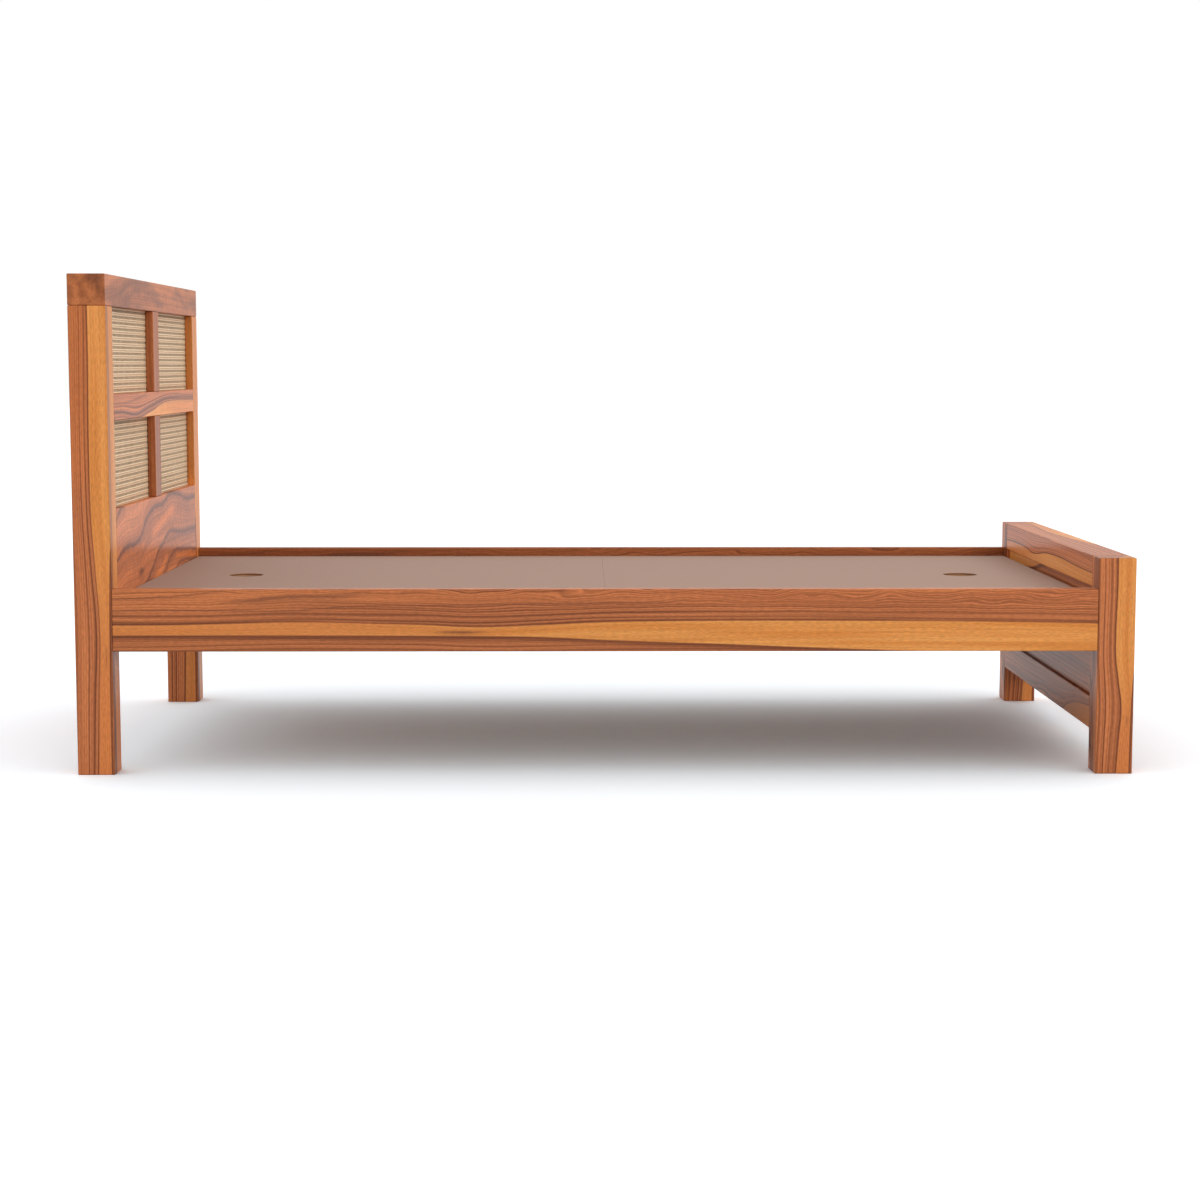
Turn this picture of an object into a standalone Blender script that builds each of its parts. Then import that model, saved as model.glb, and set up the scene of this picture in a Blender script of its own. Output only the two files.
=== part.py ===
"""Cane single bed in solid rosewood.

A tall headboard with four cane lights over a solid panel, a low framed footboard, two bolted side
rails, cross bearers on ledgers, and a deck in two halves that lift out by their finger holes.
Units are metres and +Z is up. The head is at -X, the foot at +X, the floor at Z = 0, and the right
side, as the sleeper lies, is at -Y.
"""

import math

import bmesh
import bpy
from mathutils import Matrix, Vector

# Overall sizes
BED_LENGTH = 2.134
BED_WIDTH = 1.071
HEADBOARD_HEIGHT = 1.005
FOOTBOARD_HEIGHT = 0.439

# Posts, measured along X and along Y
POST_DEPTH = 0.075
POST_WIDTH = 0.065

# Side rails, flush with the posts' outer faces
SIDE_RAIL_BOTTOM = 0.251
SIDE_RAIL_HEIGHT = 0.126
SIDE_RAIL_THICKNESS = 0.030

# Headboard members: the top rail caps the posts, the rest stand between them, flush in front
TOP_RAIL_HEIGHT = 0.0625
MID_RAIL_BOTTOM = 0.713
MID_RAIL_HEIGHT = 0.053
HEADBOARD_PANEL_TOP = 0.534
MULLION_WIDTH = 0.0625
FRAME_THICKNESS = 0.030

# Cane on a thin backing board, both held by a light frame in a rebate behind the headboard frame
CANE_RECESS = 0.017
CANE_THICKNESS = 0.0016
BACKING_THICKNESS = 0.003
REBATE_WIDTH = 0.009
CANE_GAPS_ACROSS = 14
CANE_GAPS_UP = 5
CANE_STRAND_WIDTH = 0.011

# Footboard members
FOOT_TOP_RAIL_HEIGHT = 0.063
FOOT_BOTTOM_RAIL_BOTTOM = 0.084
FOOT_BOTTOM_RAIL_HEIGHT = 0.066
FOOT_PANEL_RECESS = 0.008
FOOT_PANEL_THICKNESS = 0.020

# Deck boards and what carries them
DECK_DROP = 0.020
DECK_THICKNESS = 0.018
DECK_CLEARANCE = 0.002
DECK_SEAM = 0.0003
FINGER_HOLE_DIAMETER = 0.076
FINGER_HOLE_INSET = 0.192
BEARER_COUNT = 5
BEARER_WIDTH = 0.070
BEARER_THICKNESS = 0.025
END_BEARER_INSET = 0.350
LEDGER_WIDTH = 0.025
LEDGER_HEIGHT = 0.035
LEDGER_END_GAP = 0.070
CLEAT_END_GAP = 0.020

# Joinery
FIT = 0.0003
EDGE_EASE = 0.0012
TENON_LENGTH = 0.030
TENON_THICKNESS = 0.012
TENON_SHOULDER = 0.004
STUB_TENON_LENGTH = 0.012
RAIL_TENON_LENGTH = 0.020
RAIL_TENON_SHOULDER = 0.015
POST_TENON_SIZE = 0.030
PANEL_TONGUE = 0.010

# Bed bolts and their barrel nuts
BOLT_DIAMETER = 0.008
BOLT_HEAD_DIAMETER = 0.013
BOLT_HEAD_HEIGHT = 0.005
BOLT_SOCKET_DIAMETER = 0.006
BOLT_SOCKET_DEPTH = 0.003
BOLT_SPACING = 0.064
BOLT_TIP_PAST_NUT = 0.003
COUNTERBORE_DIAMETER = 0.017
COUNTERBORE_DEPTH = 0.008
BARREL_NUT_DIAMETER = 0.014
BARREL_NUT_LENGTH = 0.020
BARREL_NUT_SETBACK = 0.045
ROUND_STEPS = 12
FINGER_HOLE_STEPS = 32

# A cutter that opens through a face runs on past it by this much
OVERSHOOT = 0.004

# Planes and levels that pieces share
HALF_LENGTH = BED_LENGTH / 2
HALF_WIDTH = BED_WIDTH / 2
POST_INNER_Y = HALF_WIDTH - POST_WIDTH
RAIL_INNER_Y = HALF_WIDTH - SIDE_RAIL_THICKNESS
RAIL_CENTRE_Y = HALF_WIDTH - SIDE_RAIL_THICKNESS / 2
HEAD_FACE_X = -HALF_LENGTH + POST_DEPTH
FOOT_FACE_X = HALF_LENGTH - POST_DEPTH
FRAME_BACK_X = HEAD_FACE_X - FRAME_THICKNESS
FRAME_CENTRE_X = HEAD_FACE_X - FRAME_THICKNESS / 2
RAIL_TOP = SIDE_RAIL_BOTTOM + SIDE_RAIL_HEIGHT
RAIL_MIDDLE = SIDE_RAIL_BOTTOM + SIDE_RAIL_HEIGHT / 2
TOP_RAIL_BOTTOM = HEADBOARD_HEIGHT - TOP_RAIL_HEIGHT
MID_RAIL_TOP = MID_RAIL_BOTTOM + MID_RAIL_HEIGHT
FOOT_TOP_RAIL_BOTTOM = FOOTBOARD_HEIGHT - FOOT_TOP_RAIL_HEIGHT
FOOT_BOTTOM_RAIL_TOP = FOOT_BOTTOM_RAIL_BOTTOM + FOOT_BOTTOM_RAIL_HEIGHT
FOOT_PANEL_X = FOOT_FACE_X + FOOT_PANEL_RECESS
DECK_TOP = RAIL_TOP - DECK_DROP
DECK_UNDERSIDE = DECK_TOP - DECK_THICKNESS
BEARER_TOP = DECK_UNDERSIDE - FIT
LEDGER_TOP = BEARER_TOP - BEARER_THICKNESS - FIT

SIDES = (("right", -1), ("left", 1))
ENDS = (("head", -1), ("foot", 1))


def srgb(red, green, blue):
    """Colour from 0..255 display values to the linear values a shader takes."""
    def linear(value):
        value = value / 255
        return value / 12.92 if value <= 0.04045 else ((value + 0.055) / 1.055) ** 2.4
    return (linear(red), linear(green), linear(blue), 1.0)


def finish(name, colour, roughness, metallic=0.0):
    """A plain Principled material."""
    material = bpy.data.materials.new(name)
    material.use_nodes = True
    shader = material.node_tree.nodes["Principled BSDF"]
    shader.inputs["Base Color"].default_value = colour
    shader.inputs["Roughness"].default_value = roughness
    shader.inputs["Metallic"].default_value = metallic
    return material


def collection(name):
    """A new collection in the scene."""
    made = bpy.data.collections.new(name)
    bpy.context.scene.collection.children.link(made)
    return made


for old in list(bpy.data.objects):
    bpy.data.objects.remove(old, do_unlink=True)

PIECES = collection("cane_single_bed")
CUTTERS = collection("cutters")

ROSEWOOD = finish("rosewood_lacquered", srgb(190, 116, 70), 0.35)
ROSEWOOD_PANEL = finish("rosewood_figured", srgb(178, 112, 80), 0.35)
CANE = finish("woven_cane", srgb(214, 184, 148), 0.6)
LAMINATE = finish("taupe_laminate", srgb(175, 147, 131), 0.55)
PLAIN_WOOD = finish("plain_softwood", srgb(196, 158, 112), 0.7)
STEEL = finish("zinc_steel", srgb(176, 178, 180), 0.35, 1.0)


def put(name, shape, material=None, location=(0, 0, 0), rotation=(0, 0, 0)):
    """An object made from a bmesh: a piece of the bed, or a cutter where no material is given."""
    mesh = bpy.data.meshes.new(name)
    bmesh.ops.recalc_face_normals(shape, faces=shape.faces[:])
    shape.to_mesh(mesh)
    shape.free()
    made = bpy.data.objects.new(name, mesh)
    made.location = location
    made.rotation_euler = rotation
    if material:
        mesh.materials.append(material)
        PIECES.objects.link(made)
    else:
        made.hide_render = True
        made.display_type = "WIRE"
        CUTTERS.objects.link(made)
    return made


def block(name, low, high, material=None, eased=True):
    """A rectangular piece between two corners, its arrises eased; a cutter stays sharp."""
    low, high = Vector(low), Vector(high)
    shape = bmesh.new()
    bmesh.ops.create_cube(shape, size=1, matrix=Matrix.Diagonal((*(high - low), 1)))
    made = put(name, shape, material, (low + high) / 2)
    if material and eased:
        ease = made.modifiers.new("eased_arrises", "BEVEL")
        ease.width = EDGE_EASE
        ease.segments = 1
    return made


def grown(low, high, by=FIT):
    """The corners of a block that is larger by a clearance on every side."""
    margin = Vector((by, by, by))
    return Vector(low) - margin, Vector(high) + margin


def mirrored_y(low, high, side):
    """The corners of a block given on the +Y side, on the side asked for."""
    first, last = sorted((side * low[1], side * high[1]))
    return (low[0], first, low[2]), (high[0], last, high[2])


def combine(piece, other, operation):
    """A live Boolean between a piece and a helper block."""
    step = piece.modifiers.new(other.name, "BOOLEAN")
    step.operation = operation
    step.object = other
    step.solver = "EXACT"


def cut(piece, *cutters):
    for cutter in cutters:
        combine(piece, cutter, "DIFFERENCE")


def tenon(piece, mate, name, low, high, root):
    """A tenon on one piece and its mortise in the other, FIT apart.

    root is a vector that sinks the tenon's foot into the piece it grows from.
    """
    low, high = Vector(low), Vector(high)
    foot_low = Vector(map(min, low, low + root))
    foot_high = Vector(map(max, high, high + root))
    combine(piece, block(name + "_tenon", foot_low, foot_high), "UNION")
    cut(mate, block(name + "_mortise", *grown(foot_low, foot_high)))


def turned(profile, steps=ROUND_STEPS):
    """A closed turned mesh from (radius, height) points that run down its outer side."""
    outline = bpy.data.meshes.new("profile")
    points = [(radius, 0, height) for radius, height in profile]
    outline.from_pydata(points, [(i, i + 1) for i in range(len(points) - 1)], [])
    lathe = bpy.data.objects.new("lathe", outline)
    bpy.context.scene.collection.objects.link(lathe)
    spin = lathe.modifiers.new("spin", "SCREW")
    spin.steps = steps
    spin.render_steps = steps
    spin.use_merge_vertices = True
    spin.merge_threshold = 0.00001
    depsgraph = bpy.context.evaluated_depsgraph_get()
    mesh = bpy.data.meshes.new_from_object(lathe.evaluated_get(depsgraph))
    bpy.data.objects.remove(lathe)
    bpy.data.meshes.remove(outline)
    return mesh


def copies(mesh, places):
    """One bmesh that holds a copy of a mesh at each place."""
    shape = bmesh.new()
    for place in places:
        first = len(shape.verts)
        shape.from_mesh(mesh)
        shape.verts.ensure_lookup_table()
        bmesh.ops.transform(shape, matrix=place, verts=shape.verts[first:])
    return shape


# Headboard posts and top rail

def headboard_post(label, side):
    low = (-HALF_LENGTH, POST_INNER_Y, 0)
    high = (HEAD_FACE_X, HALF_WIDTH, TOP_RAIL_BOTTOM - FIT)
    return block("headboard_post_" + label, *mirrored_y(low, high, side), ROSEWOOD)


headboard_posts = {label: headboard_post(label, side) for label, side in SIDES}

headboard_top_rail = block(
    "headboard_top_rail",
    (-HALF_LENGTH, -HALF_WIDTH, TOP_RAIL_BOTTOM),
    (HEAD_FACE_X, HALF_WIDTH, HEADBOARD_HEIGHT),
    ROSEWOOD_PANEL)

for label, side in SIDES:
    centre_x = (-HALF_LENGTH + HEAD_FACE_X) / 2
    centre_y = side * (HALF_WIDTH + POST_INNER_Y) / 2
    reach = POST_TENON_SIZE / 2
    tenon(headboard_posts[label], headboard_top_rail, "post_top_" + label,
          (centre_x - reach, centre_y - reach, TOP_RAIL_BOTTOM - FIT),
          (centre_x + reach, centre_y + reach, TOP_RAIL_BOTTOM + POST_TENON_SIZE),
          Vector((0, 0, -OVERSHOOT)))

# Headboard frame between the posts

headboard_mid_rail = block(
    "headboard_mid_rail",
    (FRAME_BACK_X, -POST_INNER_Y + FIT, MID_RAIL_BOTTOM),
    (HEAD_FACE_X, POST_INNER_Y - FIT, MID_RAIL_TOP),
    ROSEWOOD_PANEL)

headboard_panel = block(
    "headboard_panel",
    (FRAME_BACK_X, -POST_INNER_Y + FIT, SIDE_RAIL_BOTTOM),
    (HEAD_FACE_X, POST_INNER_Y - FIT, HEADBOARD_PANEL_TOP),
    ROSEWOOD_PANEL)


def mullion(name, bottom, top, piece_below, piece_above):
    """An upright between two cane lights, with a stub tenon at each end."""
    piece = block(
        name,
        (FRAME_BACK_X, -MULLION_WIDTH / 2, bottom + FIT),
        (HEAD_FACE_X, MULLION_WIDTH / 2, top - FIT),
        ROSEWOOD)
    half_thick = TENON_THICKNESS / 2
    half_wide = MULLION_WIDTH / 2 - REBATE_WIDTH - TENON_SHOULDER
    for mate, start, end, root in (
            (piece_below, bottom - STUB_TENON_LENGTH, bottom + FIT, OVERSHOOT),
            (piece_above, top - FIT, top + STUB_TENON_LENGTH, -OVERSHOOT)):
        tenon(piece, mate, name + "_into_" + mate.name,
              (FRAME_CENTRE_X - half_thick, -half_wide, start),
              (FRAME_CENTRE_X + half_thick, half_wide, end),
              Vector((0, 0, root)))
    return piece


headboard_mullions = {
    "upper": mullion("headboard_mullion_upper", MID_RAIL_TOP, TOP_RAIL_BOTTOM,
                     headboard_mid_rail, headboard_top_rail),
    "lower": mullion("headboard_mullion_lower", HEADBOARD_PANEL_TOP, MID_RAIL_BOTTOM,
                     headboard_panel, headboard_mid_rail)}


def into_post(piece, post, side, name, face_y, centre_x, thickness, length, bottom, top):
    """A tenon at the end of a cross member, into a post's inner face."""
    low = (centre_x - thickness / 2, face_y - FIT, bottom)
    high = (centre_x + thickness / 2, face_y + length, top)
    tenon(piece, post, name, *mirrored_y(low, high, side), Vector((0, -side * OVERSHOOT, 0)))


for label, side in SIDES:
    into_post(headboard_mid_rail, headboard_posts[label], side, "mid_rail_" + label,
              POST_INNER_Y, FRAME_CENTRE_X, TENON_THICKNESS, TENON_LENGTH,
              MID_RAIL_BOTTOM + REBATE_WIDTH + TENON_SHOULDER,
              MID_RAIL_TOP - REBATE_WIDTH - TENON_SHOULDER)
    into_post(headboard_panel, headboard_posts[label], side, "panel_tongue_" + label,
              POST_INNER_Y, FRAME_CENTRE_X, TENON_THICKNESS, PANEL_TONGUE,
              SIDE_RAIL_BOTTOM + PANEL_TONGUE,
              HEADBOARD_PANEL_TOP - REBATE_WIDTH - TENON_SHOULDER)

# Cane lights: a rebate behind the frame, and in it the cane, its backing board and a light frame

CANE_FRONT_X = HEAD_FACE_X - CANE_RECESS - FIT
CANE_BACK_X = CANE_FRONT_X - CANE_THICKNESS
BACKING_FRONT_X = CANE_BACK_X - FIT
BACKING_BACK_X = BACKING_FRONT_X - BACKING_THICKNESS
LAP = REBATE_WIDTH - FIT


def grid_lines(start, end, margin, cells):
    """Line places across a sheet: its edge, the margin, even cells, the margin and its other edge."""
    pitch = (end - start - 2 * margin) / cells
    return [start] + [start + margin + pitch * i for i in range(cells + 1)] + [end]


def cane_sheet(name, low_y, high_y, low_z, high_z):
    """An open lattice of cane with a plain margin that laps behind the frame.

    A grid of faces is inset cell by cell, the insides are taken out and what is left is thickened.
    """
    centre = Vector((CANE_FRONT_X - CANE_THICKNESS / 2, (low_y + high_y) / 2, (low_z + high_z) / 2))
    columns = grid_lines(low_y - LAP - centre.y, high_y + LAP - centre.y, LAP, CANE_GAPS_ACROSS)
    rows = grid_lines(low_z - LAP - centre.z, high_z + LAP - centre.z, LAP, CANE_GAPS_UP)
    shape = bmesh.new()
    bmesh.ops.create_grid(
        shape, x_segments=len(columns) - 1, y_segments=len(rows) - 1, size=0.5)
    for vertex in shape.verts:
        column = round((vertex.co.x + 0.5) * (len(columns) - 1))
        row = round((vertex.co.y + 0.5) * (len(rows) - 1))
        vertex.co = (columns[column], rows[row], 0)
    inside = [
        face for face in shape.faces
        if columns[1] < face.calc_center_median().x < columns[-2]
        and rows[1] < face.calc_center_median().y < rows[-2]]
    bmesh.ops.inset_individual(shape, faces=inside, thickness=CANE_STRAND_WIDTH / 2)
    bmesh.ops.delete(shape, geom=inside, context="FACES")
    sheet = put(name, shape, CANE, centre, (math.pi / 2, 0, math.pi / 2))
    thicken = sheet.modifiers.new("thickness", "SOLIDIFY")
    thicken.thickness = CANE_THICKNESS
    thicken.offset = 0
    return sheet


def cane_backing(name, low_y, high_y, low_z, high_z):
    """A thin board behind the cane, so that nothing pushes through it or shows through it."""
    return block(
        name, (BACKING_BACK_X, low_y - LAP, low_z - LAP), (BACKING_FRONT_X, high_y + LAP, high_z + LAP),
        PLAIN_WOOD, eased=False)


def cane_frame(name, low_y, high_y, low_z, high_z):
    """A light frame behind the backing, glued up as one ring and flush with the bed frame's back."""
    front, back = BACKING_BACK_X - FIT, FRAME_BACK_X
    ring = block(
        name, (back, low_y - LAP, low_z - LAP), (front, high_y + LAP, high_z + LAP),
        ROSEWOOD, eased=False)
    cut(ring, block(
        name + "_light", (back - OVERSHOOT, low_y, low_z), (front + OVERSHOOT, high_y, high_z)))
    return ring


for level, bottom, top, piece_below, piece_above in (
        ("upper", MID_RAIL_TOP, TOP_RAIL_BOTTOM, headboard_mid_rail, headboard_top_rail),
        ("lower", HEADBOARD_PANEL_TOP, MID_RAIL_BOTTOM, headboard_panel, headboard_mid_rail)):
    for label, side in SIDES:
        near, far = sorted((side * MULLION_WIDTH / 2, side * POST_INNER_Y))
        light = level + "_" + label
        rebate = block(
            "cane_rebate_" + light,
            (FRAME_BACK_X - FIT, near - REBATE_WIDTH, bottom - REBATE_WIDTH),
            (HEAD_FACE_X - CANE_RECESS, far + REBATE_WIDTH, top + REBATE_WIDTH))
        for piece in (headboard_posts[label], headboard_mullions[level], piece_below, piece_above):
            cut(piece, rebate)
        cane_sheet("cane_panel_" + light, near, far, bottom, top)
        cane_backing("cane_backing_" + light, near, far, bottom, top)
        cane_frame("cane_frame_" + light, near, far, bottom, top)

# Footboard: posts that run through to the top, two rails and a grooved-in panel


def footboard_post(label, side):
    low = (FOOT_FACE_X, POST_INNER_Y, 0)
    high = (HALF_LENGTH, HALF_WIDTH, FOOTBOARD_HEIGHT)
    return block("footboard_post_" + label, *mirrored_y(low, high, side), ROSEWOOD)


footboard_posts = {label: footboard_post(label, side) for label, side in SIDES}


def footboard_rail(name, bottom, top):
    """A rail as deep as the posts, tenoned into both."""
    piece = block(
        name,
        (FOOT_FACE_X, -POST_INNER_Y + FIT, bottom),
        (HALF_LENGTH, POST_INNER_Y - FIT, top),
        ROSEWOOD_PANEL)
    shoulder = PANEL_TONGUE + TENON_SHOULDER
    for label, side in SIDES:
        into_post(piece, footboard_posts[label], side, name + "_" + label,
                  POST_INNER_Y, (FOOT_FACE_X + HALF_LENGTH) / 2, 2 * TENON_THICKNESS, TENON_LENGTH,
                  bottom + shoulder, top - shoulder)
    return piece


footboard_top_rail = footboard_rail("footboard_top_rail", FOOT_TOP_RAIL_BOTTOM, FOOTBOARD_HEIGHT)
footboard_bottom_rail = footboard_rail(
    "footboard_bottom_rail", FOOT_BOTTOM_RAIL_BOTTOM, FOOT_BOTTOM_RAIL_TOP)

FOOT_PANEL_CORNERS = (
    (FOOT_PANEL_X, -POST_INNER_Y - PANEL_TONGUE, FOOT_BOTTOM_RAIL_TOP - PANEL_TONGUE),
    (FOOT_PANEL_X + FOOT_PANEL_THICKNESS, POST_INNER_Y + PANEL_TONGUE,
     FOOT_TOP_RAIL_BOTTOM + PANEL_TONGUE))
footboard_panel = block("footboard_panel", *FOOT_PANEL_CORNERS, ROSEWOOD_PANEL)
panel_groove = block("footboard_panel_groove", *grown(*FOOT_PANEL_CORNERS))
for piece in (footboard_top_rail, footboard_bottom_rail, *footboard_posts.values()):
    cut(piece, panel_groove)

# Side rails, with a stub tenon in each post

side_rails = {}
for label, side in SIDES:
    low = (HEAD_FACE_X + FIT, RAIL_INNER_Y, SIDE_RAIL_BOTTOM)
    high = (FOOT_FACE_X - FIT, HALF_WIDTH, RAIL_TOP)
    rail = block("side_rail_" + label, *mirrored_y(low, high, side), ROSEWOOD)
    side_rails[label] = rail
    for end_label, end in ENDS:
        post = (headboard_posts if end_label == "head" else footboard_posts)[label]
        shoulder_x = end * (FOOT_FACE_X - FIT)
        tip_x = end * (FOOT_FACE_X + RAIL_TENON_LENGTH)
        centre_y = side * RAIL_CENTRE_Y
        tenon(rail, post, "side_rail_" + label + "_" + end_label,
              (min(shoulder_x, tip_x), centre_y - TENON_THICKNESS / 2,
               SIDE_RAIL_BOTTOM + RAIL_TENON_SHOULDER),
              (max(shoulder_x, tip_x), centre_y + TENON_THICKNESS / 2,
               RAIL_TOP - RAIL_TENON_SHOULDER),
              Vector((-end * OVERSHOOT, 0, 0)))

# Bed bolts from outside the posts into barrel nuts in the side rails

BOLT_SEAT = -COUNTERBORE_DEPTH
BOLT_HEAD_TOP = BOLT_SEAT + FIT + BOLT_HEAD_HEIGHT
BOLT_TIP = -(POST_DEPTH + BARREL_NUT_SETBACK + BARREL_NUT_DIAMETER / 2 + BOLT_TIP_PAST_NUT)
BOLT_LEVELS = (("lower", -1), ("upper", 1))
BOLT_LINES = {
    "_".join((end_label, side_label, level_label)):
        (end, side, RAIL_MIDDLE + level * BOLT_SPACING / 2)
    for end_label, end in ENDS for side_label, side in SIDES for level_label, level in BOLT_LEVELS}


def bolt_place(end, side, height):
    """A bolt's origin on the post's outer face, with local +Z pointing out of it."""
    turn = Matrix.Rotation(end * math.pi / 2, 4, "Y")
    return Matrix.Translation((end * HALF_LENGTH, side * RAIL_CENTRE_Y, height)) @ turn


def nut_place(end, side, height, shift=0.0):
    """A barrel nut's middle on its bolt, local +Z along Y, moved inwards by shift."""
    turn = Matrix.Rotation(math.pi / 2, 4, "X")
    x = end * (FOOT_FACE_X - BARREL_NUT_SETBACK)
    return Matrix.Translation((x, side * (RAIL_CENTRE_Y - shift), height)) @ turn


bolt = turned([
    (0, BOLT_HEAD_TOP - BOLT_SOCKET_DEPTH),
    (BOLT_SOCKET_DIAMETER / 2, BOLT_HEAD_TOP - BOLT_SOCKET_DEPTH),
    (BOLT_SOCKET_DIAMETER / 2, BOLT_HEAD_TOP),
    (BOLT_HEAD_DIAMETER / 2, BOLT_HEAD_TOP),
    (BOLT_HEAD_DIAMETER / 2, BOLT_SEAT + FIT),
    (BOLT_DIAMETER / 2, BOLT_SEAT + FIT),
    (BOLT_DIAMETER / 2, BOLT_TIP),
    (0, BOLT_TIP)])
for line, at in BOLT_LINES.items():
    put("bed_bolt_" + line, copies(bolt, [bolt_place(*at)]), STEEL)

bolt_bore = turned([
    (0, OVERSHOOT),
    (COUNTERBORE_DIAMETER / 2, OVERSHOOT),
    (COUNTERBORE_DIAMETER / 2, BOLT_SEAT),
    (BOLT_DIAMETER / 2 + FIT, BOLT_SEAT),
    (BOLT_DIAMETER / 2 + FIT, BOLT_TIP - OVERSHOOT),
    (0, BOLT_TIP - OVERSHOOT)])
bolt_bores = put("bolt_bores", copies(bolt_bore, [bolt_place(*at) for at in BOLT_LINES.values()]))

nut = turned([
    (0, BARREL_NUT_LENGTH / 2),
    (BARREL_NUT_DIAMETER / 2, BARREL_NUT_LENGTH / 2),
    (BARREL_NUT_DIAMETER / 2, -BARREL_NUT_LENGTH / 2),
    (0, -BARREL_NUT_LENGTH / 2)])
for line, at in BOLT_LINES.items():
    cut(put("barrel_nut_" + line, copies(nut, [nut_place(*at)]), STEEL), bolt_bores)

NUT_BORE_END = BARREL_NUT_LENGTH / 2 + FIT
NUT_BORE_DEPTH = SIDE_RAIL_THICKNESS / 2 + OVERSHOOT + NUT_BORE_END
nut_bore = turned([
    (0, NUT_BORE_DEPTH / 2),
    (BARREL_NUT_DIAMETER / 2 + FIT, NUT_BORE_DEPTH / 2),
    (BARREL_NUT_DIAMETER / 2 + FIT, -NUT_BORE_DEPTH / 2),
    (0, -NUT_BORE_DEPTH / 2)])
nut_bore_shift = NUT_BORE_DEPTH / 2 - NUT_BORE_END
nut_bores = put("nut_bores", copies(
    nut_bore, [nut_place(*at, nut_bore_shift) for at in BOLT_LINES.values()]))

for label, _ in SIDES:
    cut(headboard_posts[label], bolt_bores)
    cut(footboard_posts[label], bolt_bores)
    cut(side_rails[label], nut_bores, bolt_bores)

# Ledgers along the side rails, cleats at the ends and bearers across

for label, side in SIDES:
    low = (HEAD_FACE_X + LEDGER_END_GAP, RAIL_INNER_Y - FIT - LEDGER_WIDTH, LEDGER_TOP - LEDGER_HEIGHT)
    high = (FOOT_FACE_X - LEDGER_END_GAP, RAIL_INNER_Y - FIT, LEDGER_TOP)
    block("ledger_" + label, *mirrored_y(low, high, side), PLAIN_WOOD)

CLEAT_HALF_LENGTH = POST_INNER_Y - CLEAT_END_GAP
# The foot cleat stands in the recess under the footboard's top rail, so it keeps below that rail
FOOT_CLEAT_TOP = min(BEARER_TOP, FOOT_TOP_RAIL_BOTTOM - FIT)
for name, low_x, top in (
        ("head_cleat", HEAD_FACE_X + FIT, BEARER_TOP),
        ("foot_cleat", FOOT_PANEL_X - FIT - LEDGER_WIDTH, FOOT_CLEAT_TOP)):
    block(name,
          (low_x, -CLEAT_HALF_LENGTH, top - LEDGER_HEIGHT),
          (low_x + LEDGER_WIDTH, CLEAT_HALF_LENGTH, top),
          PLAIN_WOOD)

OUTER_BEARER_X = FOOT_FACE_X - END_BEARER_INSET
for number in range(BEARER_COUNT):
    centre_x = OUTER_BEARER_X * (2 * number / (BEARER_COUNT - 1) - 1)
    block("cross_bearer_%d" % (number + 1),
          (centre_x - BEARER_WIDTH / 2, -RAIL_INNER_Y + FIT, BEARER_TOP - BEARER_THICKNESS),
          (centre_x + BEARER_WIDTH / 2, RAIL_INNER_Y - FIT, BEARER_TOP),
          PLAIN_WOOD)

# Deck boards, each with a finger hole near its outer end

for end_label, end in ENDS:
    seam_x = end * DECK_SEAM / 2
    outer_x = end * (FOOT_FACE_X - DECK_CLEARANCE)
    half_wide = RAIL_INNER_Y - DECK_CLEARANCE
    board = block("deck_board_" + end_label,
                  (min(seam_x, outer_x), -half_wide, DECK_UNDERSIDE),
                  (max(seam_x, outer_x), half_wide, DECK_TOP),
                  LAMINATE, eased=False)
    hole = bmesh.new()
    bmesh.ops.create_cone(
        hole, cap_ends=True, segments=FINGER_HOLE_STEPS, depth=DECK_THICKNESS + 2 * OVERSHOOT,
        radius1=FINGER_HOLE_DIAMETER / 2, radius2=FINGER_HOLE_DIAMETER / 2)
    hole_x = end * (FOOT_FACE_X - FINGER_HOLE_INSET)
    cut(board, put("finger_hole_" + end_label, hole,
                   location=(hole_x, 0, (DECK_TOP + DECK_UNDERSIDE) / 2)))
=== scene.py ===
# %% [markdown]
# # A cane single bed
# The imported model gives every solid piece of the bed in metres, head at -X, foot at +X, floor at Z = 0.
# This lesson gives those pieces their finishes, weaves the cane, drives the screws, and lights it all.

# %% Load the bed
import math
import bmesh
import bpy
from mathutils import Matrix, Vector


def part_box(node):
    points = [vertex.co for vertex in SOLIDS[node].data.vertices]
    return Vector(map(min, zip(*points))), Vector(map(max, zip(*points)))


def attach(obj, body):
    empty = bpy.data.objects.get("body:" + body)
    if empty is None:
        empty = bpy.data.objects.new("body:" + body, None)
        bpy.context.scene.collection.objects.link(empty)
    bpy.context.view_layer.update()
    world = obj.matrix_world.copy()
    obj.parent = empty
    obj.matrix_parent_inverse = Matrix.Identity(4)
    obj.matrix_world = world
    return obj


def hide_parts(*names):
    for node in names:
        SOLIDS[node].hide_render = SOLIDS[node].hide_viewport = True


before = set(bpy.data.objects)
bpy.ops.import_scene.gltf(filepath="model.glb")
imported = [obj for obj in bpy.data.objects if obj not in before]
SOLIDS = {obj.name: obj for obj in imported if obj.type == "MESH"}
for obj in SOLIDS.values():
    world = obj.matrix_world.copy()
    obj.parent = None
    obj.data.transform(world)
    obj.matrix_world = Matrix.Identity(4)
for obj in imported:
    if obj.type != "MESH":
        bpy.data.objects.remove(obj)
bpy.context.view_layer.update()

# %% [markdown]
# ## The camera
# The photograph is taken from the near long side with a long lens, from a little below the top of the
# headboard. A camera could be set by eye, but fitting the bed's corners and edges to the photograph gives
# one place, one lens, a small tilt and a small turn, so it is set with those numbers and no shift.

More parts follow.
